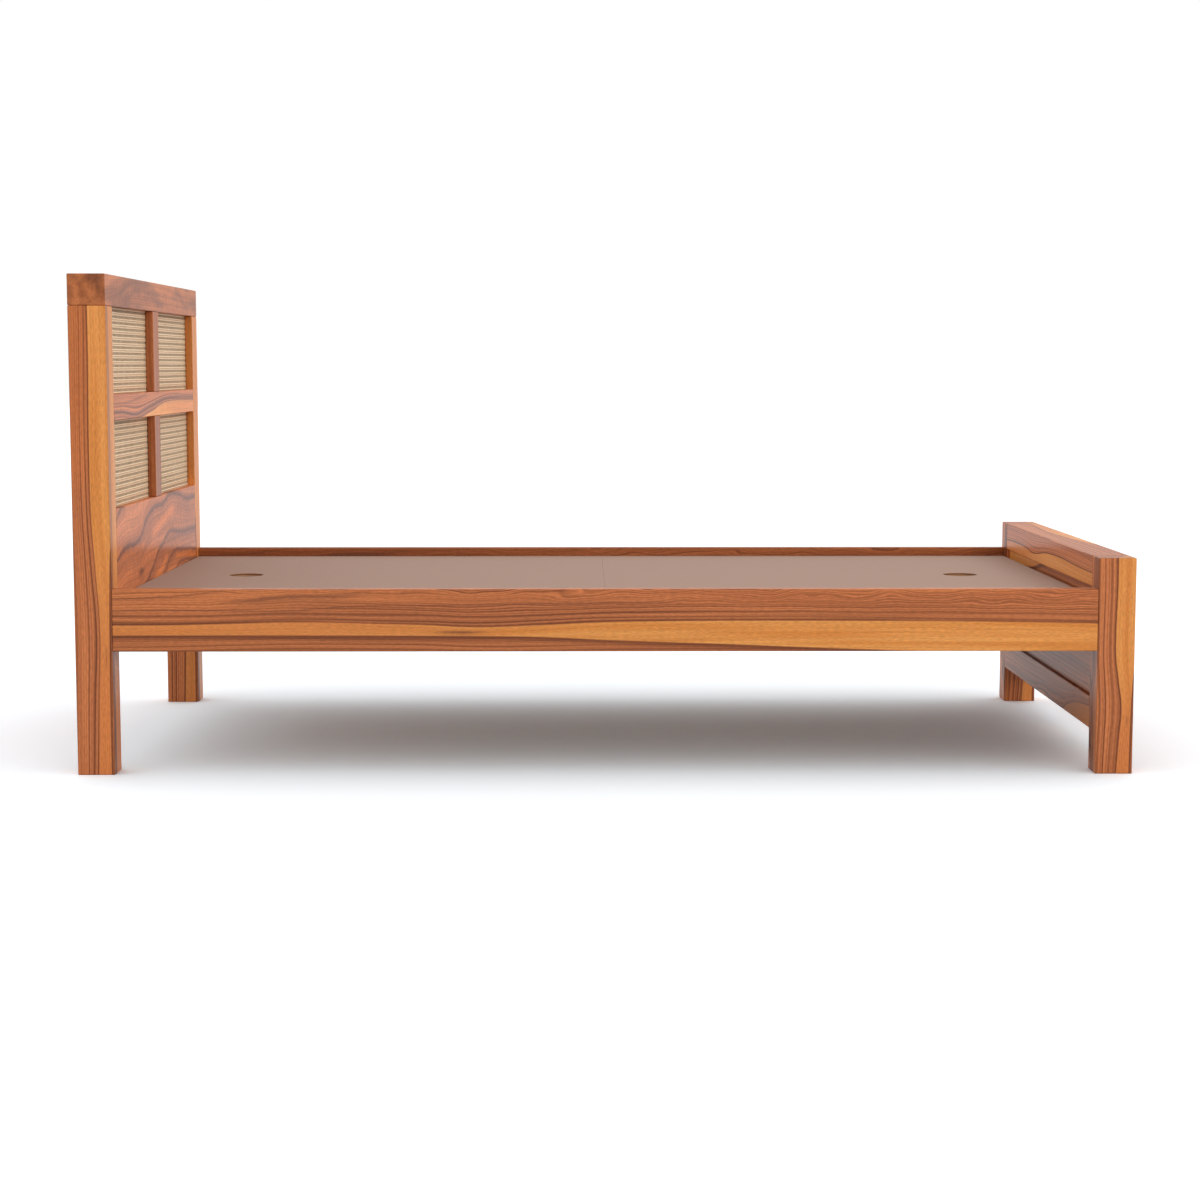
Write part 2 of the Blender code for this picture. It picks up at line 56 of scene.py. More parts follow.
# %% Camera
CAMERA_PLACE = (-0.0449, -5.0922, 0.8251)
CAMERA_TILT_DOWN = math.radians(5.889)
CAMERA_TURN_TO_FOOT = math.radians(0.415)
SENSOR_WIDTH_MM = 36
LENS_MM = 68.40

camera_data = bpy.data.cameras.new("camera")
camera_data.sensor_width = SENSOR_WIDTH_MM
camera_data.lens = LENS_MM
camera = bpy.data.objects.new("camera", camera_data)
camera.location = CAMERA_PLACE
camera.rotation_euler = (math.pi / 2 - CAMERA_TILT_DOWN, 0, -CAMERA_TURN_TO_FOOT)
bpy.context.scene.collection.objects.link(camera)
bpy.context.scene.camera = camera
bpy.context.scene.view_settings.view_transform = "Standard"
print("camera", LENS_MM, "mm at", CAMERA_PLACE)

# %% [markdown]
# ## Node helpers
# Every finish is a small tree of nodes, and so is every rule that a piece grows by. Nodes could be added
# and linked one by one, but these helpers keep a tree short to write: they add a node with its inputs and
# do sums.

# %% Node helpers


def fill(tree, node, inputs):
    """Fill a node's inputs, by name or by number: link another node's output, or set a plain value."""
    for key, value in inputs.items():
        if isinstance(value, bpy.types.NodeSocket):
            tree.links.new(value, node.inputs[key])
        else:
            node.inputs[key].default_value = value


def add(tree, kind, inputs=None, **settings):
    """Add a node with its settings and its inputs."""
    made = tree.nodes.new(kind)
    for key, value in settings.items():
        setattr(made, key, value)
    fill(tree, made, inputs or {})
    return made


def calc(tree, operation, *terms):
    """One sum of a Math node."""
    return add(tree, "ShaderNodeMath", dict(enumerate(terms)), operation=operation).outputs[0]


def times(tree, first, *others):
    """The product of its terms."""
    for other in others:
        first = calc(tree, "MULTIPLY", first, other)
    return first


def minus(tree, first, second):
    """The difference of two terms."""
    return calc(tree, "SUBTRACT", first, second)


def scaled(tree, value, factor, shift):
    """A value times a factor, plus a shift."""
    return calc(tree, "MULTIPLY_ADD", value, factor, shift)


def ramp(tree, value, start, end, low=0.0, high=1.0):
    """A smooth step from low to high while value goes from start to end."""
    names = ("Value", "From Min", "From Max", "To Min", "To Max")
    inputs = dict(zip(names, (value, start, end, low, high)))
    return add(tree, "ShaderNodeMapRange", inputs, interpolation_type="SMOOTHSTEP").outputs[0]


print("sums ready")

# %% [markdown]
# ## Finish helpers
# A finish starts as a Principled shader, and colours, noise and relief go into it. Colours are written as
# the 0 to 255 values that a colour picker shows, and turned into the linear values that light uses.
# Curves through given points place what has to be in one place, and noise fills in what may be anywhere.
# Below, a value with RAMP in its name holds a ramp's start and end, and perhaps its low and high, and one
# with BUMP holds a strength and a depth.

# %% Finish helpers


def picked(red, green, blue):
    """A picked screen colour as linear RGBA."""
    channels = [value / 255 for value in (red, green, blue)]
    linear = [c / 12.92 if c <= 0.04045 else ((c + 0.055) / 1.055) ** 2.4 for c in channels]
    return (*linear, 1.0)


def mix(tree, share, first, second, how="MIX"):
    """Two colours mixed by a share from 0 to 1."""
    inputs = {0: share, 6: first, 7: second}
    return add(tree, "ShaderNodeMix", inputs, data_type="RGBA", blend_type=how).outputs[2]


def curve(tree, value, points):
    """A curve over 0 to 1, through a few given (place, height) points."""
    made = add(tree, "ShaderNodeFloatCurve", {1: value})
    line = made.mapping.curves[0]
    line.points[0].location = points[0]
    line.points[1].location = points[-1]
    for place, height in points[1:-1]:
        line.points.new(place, height)
    made.mapping.update()
    return made.outputs[0]


def cloud(tree, vector, detail=2.0, roughness=0.5):
    """Soft noise from 0 to 1 at the scale that the vector already has."""
    inputs = {"Vector": vector, "Scale": 1.0, "Detail": detail, "Roughness": roughness}
    return add(tree, "ShaderNodeTexNoise", inputs).outputs[0]


def speckle(tree, scale, detail=2.0, roughness=0.5, turn=(0, 0, 0)):
    """Noise over the places of a piece, with a scale for each axis."""
    place = add(tree, "ShaderNodeTexCoord").outputs["Object"]
    inputs = {"Vector": place, "Rotation": turn, "Scale": scale}
    return cloud(tree, add(tree, "ShaderNodeMapping", inputs).outputs[0], detail, roughness)


def axes_of(tree, source):
    """The X, Y and Z of each place (Object), or of the way that each face looks (Normal)."""
    values = add(tree, "ShaderNodeTexCoord").outputs[source]
    return add(tree, "ShaderNodeSeparateXYZ", {0: values}).outputs


def bumped(tree, height, strength, depth, **normal):
    """A normal with fine relief of a depth in metres, over another Normal if one is given."""
    inputs = {"Height": height, "Strength": strength, "Distance": depth, **normal}
    return add(tree, "ShaderNodeBump", inputs).outputs[0]


def new_material(name):
    """A material with an empty tree, its Principled shader already on the output."""
    material = bpy.data.materials.new(name)
    material.use_nodes = True
    tree = material.node_tree
    tree.nodes.clear()
    shader = add(tree, "ShaderNodeBsdfPrincipled")
    add(tree, "ShaderNodeOutputMaterial", {"Surface": shader.outputs[0]})
    return material, tree, shader


def finish(material, *nodes):
    """Put a finish on solid pieces, in every slot they have."""
    for node in nodes:
        for slot in SOLIDS[node].material_slots:
            slot.material = material


print("a picked 128 is", round(picked(128, 128, 128)[0], 3), "in linear light")

# %% [markdown]
# ## Boards and their grain
# Wood has a direction: the grain runs along the board, the growth lines stack up across it, and the
# pattern goes on into its depth. A painted image would cover one face only. So each board has three spans
# instead, along, across and deep, which are read from the solid's own box and turn a place in metres into
# a share from 0 to 1. The growth lines follow a drawn curve, the flow, and noise is drawn out along
# the grain, so what a face shows carries on over the board's edges and ends. A value with GRAIN in its
# name holds such a noise's scale along the grain, its scale across it and its detail.

# %% Boards
AXES = "XYZ"
MIDDLE = 0.5
SEED_STEP = 3.7
LEAN_SPAN = 1.3
FLOW_HOLD_RAMP = (0.0, 0.6, 1.0, 0.4)
FACE_TURN_RAMP = (0.55, 0.8)
FADE_LENGTH = 0.06
WAVES = (((6, 22, 3.0), 0.04), ((50, 50, 2.0), 0.035))


def span(node, way):
    """A node's axis number with the two ends of its box, in the order of a way such as -Z."""
    low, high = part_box(node)
    axis = AXES.index(way[1])
    ends = (low[axis], high[axis]) if way[0] == "+" else (high[axis], low[axis])
    return (axis, *ends)


def share_of(tree, point, board_span):
    """Where a point lies along a span, from 0 at its start to 1 at its end."""
    axis, start, end = board_span
    scale = 1 / (end - start)
    return scaled(tree, point[axis], scale, -start * scale)


class Board:
    """A board's nodes, and the fields that its wood is drawn by.

    s, t and e are shares along, across and into the board. tilt is how far the pattern moves across on
    its way to the back, as a number, or as a curve along the board in shares of LEAN_SPAN. run, wide and
    deep are the same places in metres, with the board's seed in run and deep, and the middle of wide bent
    to the flow. wavy is t with small waves in it, each given as the grain of a noise and a depth.
    """

    def __init__(self, node, ways, seed, flow, tilt):
        self.material, tree, self.shader = new_material(node)
        self.tree = tree
        self.seed = seed * SEED_STEP
        along, across, depth = [span(node, way) for way in ways]
        length, width, thickness = [abs(end - start) for _, start, end in (along, across, depth)]
        point = axes_of(tree, "Object")
        self.facing = axes_of(tree, "Normal")
        self.end_face = ramp(tree, calc(tree, "ABSOLUTE", self.facing[along[0]]), *FACE_TURN_RAMP)
        self.s = share_of(tree, point, along)
        self.e = share_of(tree, point, depth)
        lean = times(tree, curve(tree, self.s, tilt), LEAN_SPAN) if isinstance(tilt, tuple) else tilt
        self.t = scaled(tree, self.e, lean, share_of(tree, point, across))
        edge = curve(tree, self.s, flow)
        hold = ramp(tree, calc(tree, "ABSOLUTE", minus(tree, self.t, edge)), *FLOW_HOLD_RAMP)
        bent_middle = scaled(tree, minus(tree, edge, MIDDLE), hold, MIDDLE)
        self.run = scaled(tree, self.s, length, self.seed)
        self.wide = times(tree, minus(tree, self.t, bent_middle), width)
        self.deep = scaled(tree, self.e, thickness, self.seed)
        self.wavy = self.t
        for grain, wave_depth in WAVES:
            self.wavy = scaled(tree, minus(tree, self.grain(*grain), MIDDLE), wave_depth, self.wavy)

    def grain(self, along, across, detail):
        """Noise drawn out along the grain: a scale along it, a scale across it and a detail."""
        scales = ((self.run, along), (self.wide, across), (self.deep, across))
        places = [times(self.tree, place, scale) for place, scale in scales]
        drawn_out = add(self.tree, "ShaderNodeCombineXYZ", dict(enumerate(places)))
        return cloud(self.tree, drawn_out.outputs[0], detail)

    def up_to(self, place):
        """1 up to a place along the board, where it fades out."""
        return ramp(self.tree, self.s, place, place + FADE_LENGTH, 1.0, 0.0)


print("the near side rail runs along", span("side_rail_right", "-X"))

# %% [markdown]
# ## Growth lines
# A tree's ring starts pale, darkens slowly and ends in a sharp dark line. Blender's Wave texture draws
# such lines, but all alike. So the rings are numbered across the board: noise makes their steps uneven
# and lets them wander, the number of a ring gives its line a strength, and finer rings lie among the
# coarse ones. Where a board was sawn near the outside of the log its lines arch, so another noise can
# lift them along one edge.

# %% Growth lines
RING_WIDTH = 0.0105
RING_LINE = (0.52, 0.90)
RING_STRENGTH = 1.1
FINE_RING_WIDTH = 0.0044
FINE_RING_LINE = (0.35, 0.85)
FINE_RING_STRENGTH = 0.7
RING_LEAN = 0.5
RING_SHIFT = 0.7
RING_SHIFT_SCALE = 0.6
RING_WANDER = 0.016
RING_WANDER_GRAIN = (1.3, 14, 2.0)
RING_CONTRAST = 0.7
EARLY_WOOD_RAMP = (0.0, 0.4, 1.0, 0.0)
EARLY_WOOD_STRENGTH = 0.7
LINE_FADE_GRAIN = (1.4, 45, 2.0)
LINE_FADE_RAMP = (0.35, 0.65, 0.5, 1.0)
END_GRAIN_LINES = 0.3
ARCH_SHIFT = 0.045
ARCH_GRAIN = (9, 24, 1.0)
ARCH_ACROSS_RAMP = (0.05, 0.45, 1.0, 0.0)
ARCH_ALONG_RAMP = (0.50, 0.75, 1.0, 0.4)


def rings(board, width, line, rise):
    """The dark line that ends each ring, with a strength of its own, and the pale start of each ring."""
    tree = board.tree
    count = scaled(tree, board.wide, 1 / width, board.seed)
    count = scaled(tree, board.deep, RING_LEAN / width, count)
    count = scaled(tree, board.grain(0.0, RING_SHIFT_SCALE / width, 1.0), RING_SHIFT, count)
    count = scaled(tree, board.grain(*RING_WANDER_GRAIN), RING_WANDER / width, count)
    count = scaled(tree, rise, ARCH_SHIFT / width, count)
    part = calc(tree, "FRACT", count)
    number = calc(tree, "FLOOR", count)
    strength = add(tree, "ShaderNodeTexWhiteNoise", {"W": number}, noise_dimensions="1D").outputs[0]
    start, peak = line
    late = times(tree, ramp(tree, part, start, peak), ramp(tree, part, peak, 1.0, 1.0, 0.0))
    late = times(tree, late, calc(tree, "POWER", strength, RING_CONTRAST))
    return late, ramp(tree, part, *EARLY_WOOD_RAMP)


def growth(board, arch, lines):
    """How far the rings arch, the pale starts of the rings, and their fine and coarse dark lines."""
    tree = board.tree
    along_edge = ramp(tree, board.t, *ARCH_ACROSS_RAMP)
    arched = times(tree, along_edge, ramp(tree, board.s, *ARCH_ALONG_RAMP), arch)
    rise = times(tree, minus(tree, board.grain(*ARCH_GRAIN), MIDDLE), arched)
    late, early = rings(board, RING_WIDTH, RING_LINE, rise)
    fine_late, fine_early = rings(board, FINE_RING_WIDTH, FINE_RING_LINE, rise)
    seen = times(tree, ramp(tree, board.grain(*LINE_FADE_GRAIN), *LINE_FADE_RAMP),
                 scaled(tree, board.end_face, END_GRAIN_LINES - 1, 1.0))
    pale = times(tree, calc(tree, "MAXIMUM", early, fine_early), seen, EARLY_WOOD_STRENGTH * lines)
    fine_line = times(tree, fine_late, seen, FINE_RING_STRENGTH * lines)
    return arched, pale, fine_line, times(tree, late, seen, RING_STRENGTH * lines)


_, rail_low, rail_high = span("side_rail_right", "+Z")
print(round((rail_high - rail_low) / RING_WIDTH), "coarse rings over the height of a side rail")

# %% [markdown]
# ## Sapwood
# The outer wood of the log, the sapwood, is a bright orange. It meets the red-brown heartwood at a dark
# line that wanders along the board, and on some boards a wedge of heartwood comes in from the other edge
# too. These edges are what the eye knows a board by, and noise would put them anywhere, so they are
# drawn curves.

# %% Sapwood
GROWTH_LINE = picked(106, 54, 28)
SAP_DEEP = picked(209, 130, 59)
SAP_PALE = picked(225, 152, 80)
SAP_RED = picked(202, 119, 62)
SAP_GRAIN = (1.5, 60, 3.0)
SAP_TONE_RAMP = (0.32, 0.68)
SAP_RED_PLACES = (0.45, 0.85)
SAP_EDGE_RAMP = (-0.010, 0.014)
SIDE_LINE_RAMP = (-0.065, -0.012)
SIDE_LINE_GRAIN = (1.8, 10, 2.0)
SIDE_LINE_FADE_RAMP = (0.35, 0.60, 0.45, 0.95)
WEDGE_RAMP = (-0.10, -0.02, 0.22, 0.8)


def sapwood(board, colour, sap, red):
    """A colour with sapwood after the first edge of sap, and before its second edge if it has one."""
    tree = board.tree
    pale = mix(tree, ramp(tree, board.grain(*SAP_GRAIN), *SAP_TONE_RAMP), SAP_DEEP, SAP_PALE)
    # How red the sapwood is along the board; on the far posts this is partly painted shade.
    pale = mix(tree, ramp(tree, board.s, *SAP_RED_PLACES, *red), pale, SAP_RED)
    after = minus(tree, board.t, curve(tree, board.s, sap[0]))
    before = minus(tree, curve(tree, board.s, sap[1]), board.t) if len(sap) > 1 else 1.0
    over = ramp(tree, after, *SAP_EDGE_RAMP)
    under = ramp(tree, before, *SAP_EDGE_RAMP)
    side_line = times(tree, ramp(tree, after, *SIDE_LINE_RAMP), minus(tree, 1.0, over), under,
                      ramp(tree, board.grain(*SIDE_LINE_GRAIN), *SIDE_LINE_FADE_RAMP))
    wedge = times(tree, minus(tree, 1.0, under), ramp(tree, before, *WEDGE_RAMP))
    for line in (side_line, wedge):
        colour = mix(tree, line, colour, GROWTH_LINE)
    return mix(tree, times(tree, over, under), colour, pale)


sap_softness = SAP_EDGE_RAMP[1] - SAP_EDGE_RAMP[0]
print("the edge of the sapwood is soft over", round(sap_softness, 3), "of a board's width")

# %% [markdown]
# ## Veins and glows
# Grey-brown veins, knots and warm glows are single streaks. Each one follows a drawn curve with
# small waves from noise, so that it looks grown and not ruled, and a vein has a soft shade below it.

# %% Veins and glows
VEIN_SHADE_REACH = 3
VEIN_SHADE = 0.45


def streak(board, points, half_width, strength, fade_in, fade_out):
    """A soft streak along a curve, how far below the curve a place lies, and the fades at its ends."""
    tree = board.tree
    off = minus(tree, board.wavy, curve(tree, board.s, points))
    ends = times(tree, ramp(tree, board.s, fade_in, fade_in + FADE_LENGTH), board.up_to(fade_out))
    core = ramp(tree, calc(tree, "ABSOLUTE", off), 0.0, half_width, strength, 0.0)
    return times(tree, core, ends), off, ends


def shaded_streak(board, points, half_width, strength, fade_in, fade_out):
    """A streak with a soft shade below it."""
    tree = board.tree
    core, off, ends = streak(board, points, half_width, strength, fade_in, fade_out)
    shade = ramp(tree, off, 0.0, VEIN_SHADE_REACH * half_width, VEIN_SHADE * strength, 0.0)
    return calc(tree, "MAXIMUM", core, times(tree, shade, ramp(tree, off, -half_width, 0.0), ends))


print("a vein's shade reaches", VEIN_SHADE_REACH, "half widths below it")

# %% [markdown]
# ## Fibres, pores and lacquer
# Under its satin lacquer the wood still shows long fibres, short flecks and open pores. Real grooves
# would take millions of faces, so these are shades of the colour and a fine relief. A Bevel node rounds
# the edges where the light catches them, and a thin coat on the shader is the lacquer.

# %% Fibres, pores and lacquer
FIBRE_GRAIN = (5, 430, 2.0)
STREAK_GRAIN = (2.4, 240, 2.0)
FLECK_GRAIN = (85, 430, 2.0)
PORE_GRAIN = (34, 1150, 1.0)
PORE_RAMP = (0.60, 0.74)
BASE_SHADE = 0.36
FIBRE_SHADE = 0.24
STREAK_SHADE = 0.32
FLECK_SHADE = 0.72
PORE_SHADE = 0.14
END_GRAIN_SHADE = 0.74
STIPPLE_TURN = (0.5, 0.6, 0.7)
STIPPLE_SCALE = (60, 75, 45)
STIPPLE_DETAIL = 3.0
PORE_DEPTH = 0.8
WOOD_BUMP = (0.12, 0.0004)
WOOD_ROUGHNESS = 0.48
FIBRE_ROUGHNESS = 0.12
WOOD_SPECULAR = 0.08
LACQUER_WEIGHT = 0.25
LACQUER_ROUGHNESS = 0.2
EDGE_ROUNDING = 0.0015
EDGE_SAMPLES = 4


def recess_shade(board, shade, way, depth, end):
    """Painted shade, deeper up to an end, on faces beside the cane that look one way along Y, or both."""
    tree = board.tree
    across = board.facing["Y"]
    aside = times(tree, across, way) if way else calc(tree, "ABSOLUTE", across)
    painted_shade_beside_cane = times(tree, ramp(tree, aside, *FACE_TURN_RAMP), board.up_to(end))
    return times(tree, shade, scaled(tree, painted_shade_beside_cane, -depth, 1.0))


def lacquer(board, colour, brightness, stipple, recess):
    """Shade a board's colour by fibres, flecks, pores and painted shade beside the cane; coat it."""
    tree = board.tree
    fibres = board.grain(*FIBRE_GRAIN)
    pores = ramp(tree, board.grain(*PORE_GRAIN), *PORE_RAMP)
    # brightness lifts the whole colour; on some boards it is partly painted light.
    shade = scaled(tree, fibres, FIBRE_SHADE * brightness, BASE_SHADE * brightness - MIDDLE * stipple)
    shade = scaled(tree, board.grain(*STREAK_GRAIN), STREAK_SHADE * brightness, shade)
    shade = scaled(tree, board.grain(*FLECK_GRAIN), FLECK_SHADE * brightness, shade)
    if stipple:
        specks = speckle(tree, STIPPLE_SCALE, STIPPLE_DETAIL, turn=STIPPLE_TURN)
        shade = scaled(tree, specks, stipple, shade)
    shade = scaled(tree, pores, -PORE_SHADE, shade)
    shade = times(tree, shade, scaled(tree, board.end_face, END_GRAIN_SHADE - 1, 1.0))
    # Painted shade on the faces beside the cane.
    if recess:
        shade = recess_shade(board, shade, *recess)
    rounded = add(tree, "ShaderNodeBevel", {"Radius": EDGE_ROUNDING}, samples=EDGE_SAMPLES).outputs[0]
    relief = scaled(tree, pores, -PORE_DEPTH, fibres)
    fill(tree, board.shader, {
        "Base Color": mix(tree, 1.0, colour, shade, "MULTIPLY"),
        "Roughness": scaled(tree, fibres, FIBRE_ROUGHNESS, WOOD_ROUGHNESS),
        "Normal": bumped(tree, relief, *WOOD_BUMP, Normal=rounded),
        "Specular IOR Level": WOOD_SPECULAR,
        "Coat Weight": LACQUER_WEIGHT,
        "Coat Roughness": LACQUER_ROUGHNESS,
        "Coat Normal": rounded})


print("edges look rounded by", EDGE_ROUNDING * 1000, "mm")

# %% [markdown]
# ## Rosewood
# The frame is plain-sawn rosewood. One material for all of it would repeat the same figure everywhere, so
# this function paints one board at a time, in the order that the layers lie: heartwood, the pale starts
# of its rings, glows, growth lines, sapwood, veins, and the lacquer over all of them.

# %% Rosewood
HEART_DEEP = picked(168, 95, 54)
HEART_WARM = picked(200, 118, 68)
BLUSH = picked(207, 125, 78)
FLAME = picked(232, 136, 84)
GLOW = picked(216, 122, 60)
VEIN = picked(96, 54, 40)
TONE_GRAIN = (1.1, 42, 3.0)
TONE_RAMP = (0.36, 0.64)
MOTTLE_GRAIN = (4, 24, 2.0)
MOTTLE_RAMP = (0.46, 0.64)
STRIPE_START_RAMP = (0.0, 0.03)
STRIPE_EDGE_RAMP = (0.7, 0.8)
STRIPE_FADE = 0.08
STRIPE_STRENGTH = 0.5
SAP_RED_SHARES = (0.0, 0.7)


def rosewood(node, ways, seed, flow, sap=(), veins=(), glows=(), tilt=0.0, dark=0.0, lines=1.0, arch=0.0,
             mottle=0.0, stipple=0.0, stripe=0.0, recess=(), brightness=1.0, red=SAP_RED_SHARES):
    """Finish a node as a rosewood board, whose ways are those along, across and into it.

    flow is a curve of the share across, and so are the one or two edges of sap. A vein or a glow is
    (curve, half width as a share, strength, fade-in place, fade-out place). tilt is how far the pattern
    moves across from the shown face to the back. dark darkens the heartwood, and on the far rail it is
    partly painted shade. lines is the strength of its growth lines, arch is how far they arch along the
    first edge, mottle is the strength of soft grey-brown patches, stipple is that of fine specks, and
    stripe is how deep a dark stripe lies on the side at the last edge. recess, the painted shade
    beside the cane, is (way that the faces beside the cane look along Y, or 0 for both ways, its depth,
    where it ends). brightness is a factor on the whole colour, and on the far posts and the headboard's
    panel and rails it is partly painted light. red is how red the sapwood is at the two ends, and on the
    far posts it is partly painted shade.
    """
    board = Board(node, ways, seed, flow, tilt)
    tree = board.tree
    arched, pale, *dark_lines = growth(board, arch, lines)
    colour = mix(tree, ramp(tree, board.grain(*TONE_GRAIN), *TONE_RAMP), HEART_DEEP, HEART_WARM)
    colour = mix(tree, pale, colour, mix(tree, arched, BLUSH, FLAME))
    for glow in glows:
        colour = mix(tree, streak(board, *glow)[0], colour, GLOW)
    for line in dark_lines:
        colour = mix(tree, line, colour, GROWTH_LINE)
    # On the far rail this darkening is partly painted shade.
    if dark:
        colour = mix(tree, dark, colour, GROWTH_LINE)
    if mottle:
        patches = ramp(tree, board.grain(*MOTTLE_GRAIN), *MOTTLE_RAMP, 0.0, mottle)
        colour = mix(tree, patches, colour, VEIN)
    if sap:
        colour = sapwood(board, colour, sap, red)
    if stripe:
        stripe_end = ramp(tree, board.e, stripe, stripe + STRIPE_FADE, STRIPE_STRENGTH, 0.0)
        side_stripe = times(tree, ramp(tree, board.e, *STRIPE_START_RAMP), stripe_end,
                            ramp(tree, board.t, *STRIPE_EDGE_RAMP))
        colour = mix(tree, side_stripe, colour, VEIN)
    for vein in veins:
        colour = mix(tree, shaded_streak(board, *vein), colour, VEIN)
    lacquer(board, colour, brightness, stipple, recess)
    finish(board.material, node)
    print(node, "has", len(tree.nodes), "nodes")


print("rosewood ready")

# %% [markdown]
# ## Posts
# Each post was sawn at the edge of the heartwood: stripes along one edge, a dark line, then a broad band
# of sapwood that narrows where a dark wedge comes in at the other edge. One material on all four would
# make them copies of each other, so the edges are drawn once, as shares of a post's length and width, and
# a seed and a brightness tell the posts apart. On the far posts, whose shown faces lie in shade, the
# higher brightness is painted light and the redder sapwood at the top is painted shade. The sides of the
# headboard's posts that face the cane are darker in the photograph, so they get a painted shade.

# %% Posts
POST_WAYS = ("-Z", "+X", "+Y")
POST_HEART_EDGE = (
    (0, 0.515), (0.13, 0.52), (0.32, 0.49), (0.45, 0.50), (0.57, 0.59), (0.70, 0.68), (0.83, 0.63),
    (1, 0.57))
POST_WEDGE_EDGE = ((0, 1), (0.50, 1), (0.57, 0.965), (0.70, 0.93), (1, 0.905))
POST_KNOT = (((0, 0.83), (1, 0.83)), 0.035, 0.8, 0.715, 0.735)
POST_GLOW = (((0, 0.22), (1, 0.22)), 0.45, 0.35, -0.1, 0.36)
POST_TILT = -0.35
POST_LINES = 1.1
POST_STRIPE = 0.30
# Painted shade on the post sides beside the cane: its depth and where it ends along the post.
POST_PAINTED_SHADE = 0.28
POST_PAINTED_SHADE_END = 0.40
# Right posts: the sapwood's own reddening toward the ends. Left posts: a redder top that is painted
# shade.
POST_SAP_RED_AND_SHADE = {"right": (0.2, 1.0), "left": (0.5, 0.7)}
INWARD = {"right": 1, "left": -1}
# The far (left) posts' higher brightness is painted light for their faces in shade.
POSTS = (
    ("headboard", "right", 5, 1.07), ("headboard", "left", 2, 1.15),
    ("footboard", "right", 8, 1.00), ("footboard", "left", 4, 1.12))

for end, side, seed, brightness in POSTS:
    looks = {}
    if end == "headboard":
        looks["recess"] = (INWARD[side], POST_PAINTED_SHADE, POST_PAINTED_SHADE_END)
        if side == "right":
            looks.update(glows=[POST_GLOW], stripe=POST_STRIPE)
    rosewood(
        end + "_post_" + side, POST_WAYS, seed, POST_HEART_EDGE, (POST_HEART_EDGE, POST_WEDGE_EDGE),
        [POST_KNOT], tilt=POST_TILT, lines=POST_LINES, brightness=brightness, red=POST_SAP_RED_AND_SHADE[side], **looks)

# %% [markdown]
# ## Side rails
# The side rails were sawn like the posts, and the rings near their top edge arch into flames. The near
# rail is the longest face in the photograph, so its knot, its smudge and two of its lines are drawn one
# by one. The far rail shows only a dark strip over the deck, so it gets the same figure, darkened partly
# by painted shade and partly as darker wood.

# %% Side rails
RAIL_WAYS = ("-X", "-Z", "+Y")
RAIL_HEART_EDGE = (
    (0, 0.56), (0.10, 0.53), (0.25, 0.51), (0.40, 0.512), (0.50, 0.53), (0.57, 0.58), (0.63, 0.61),
    (0.68, 0.575), (0.74, 0.55), (0.81, 0.527), (0.87, 0.55), (0.94, 0.575), (1, 0.575))
RAIL_WEDGE_EDGE = (
    (0, 1), (0.17, 1), (0.25, 0.965), (0.37, 0.89), (0.50, 0.815), (0.57, 0.765), (0.66, 0.75), (1, 0.74))
RAIL_KNOT = (((0, 0.69), (1, 0.69)), 0.040, 1.3, 0.605, 0.625)
RAIL_SMUDGE = (
    ((0, 0), (0.72, 0.02), (0.765, 0.11), (0.81, 0.12), (0.86, 0.19), (1, 0.3)), 0.065, 0.6, 0.72, 0.84)
RAIL_LONG_LINE = (
    ((0, 0.18), (0.35, 0.20), (0.53, 0.22), (0.67, 0.254), (0.755, 0.271), (0.79, 0.312), (0.815, 0.346),
     (0.87, 0.346), (0.94, 0.339), (1, 0.363)), 0.016, 0.55, 0.40, 1.0)
RAIL_HEAD_LINE = (
    ((0, 0), (0.87, 0.015), (0.905, 0.075), (0.937, 0.125), (1, 0.15)), 0.025, 0.6, 0.86, 1.0)
RAIL_VEINS = (RAIL_KNOT, RAIL_SMUDGE, RAIL_LONG_LINE, RAIL_HEAD_LINE)
RAIL_TILT = -0.2
RAIL_LINES = 0.88
RAIL_ARCH = 0.9

# The far rail's darkening of 0.55 is partly painted shade over its strip above the deck.
for side, seed, dark in (("right", 6, 0.0), ("left", 7, 0.55)):
    rosewood(
        "side_rail_" + side, RAIL_WAYS, seed, RAIL_HEART_EDGE, (RAIL_HEART_EDGE, RAIL_WEDGE_EDGE),
        RAIL_VEINS, tilt=RAIL_TILT, dark=dark, lines=RAIL_LINES, arch=RAIL_ARCH)

# %% [markdown]
# ## Headboard panel
# The panel was picked for its figure: grey-brown veins sweep over it in long curves, with orange glows
# between them. Noise would make veins that wander without aim, so each vein and each glow gets its own
# curve, and the growth lines follow the longest vein.

# %% Headboard panel
HEADBOARD_WAYS = ("+Y", "-Z", "-X")
PANEL_UPPER_VEIN = (
    (0, 0.39), (0.06, 0.33), (0.13, 0.30), (0.21, 0.30), (0.27, 0.27), (0.33, 0.16), (0.41, 0.088),
    (0.56, 0.06), (0.64, 0.012), (0.75, 0.03), (0.85, 0.085), (1, 0.095))
PANEL_LOWER_VEIN = (
    (0, 0.95), (0.20, 0.78), (0.35, 0.61), (0.41, 0.54), (0.49, 0.42), (0.54, 0.39), (0.59, 0.33),
    (0.65, 0.31), (0.76, 0.345), (1, 0.357))
PANEL_CORNER_VEIN = ((0, 0.11), (0.045, 0.03), (0.10, 0.0), (1, 0.0))
PANEL_FOOT_VEIN = (
    (0, 0.98), (0.45, 0.72), (0.563, 0.61), (0.63, 0.52), (0.70, 0.485), (0.80, 0.50), (1, 0.54))
PANEL_DECK_VEIN = ((0, 0.75), (0.70, 0.63), (0.767, 0.595), (0.96, 0.616), (1, 0.62))
PANEL_KNOT = ((0, 0.53), (1, 0.53))
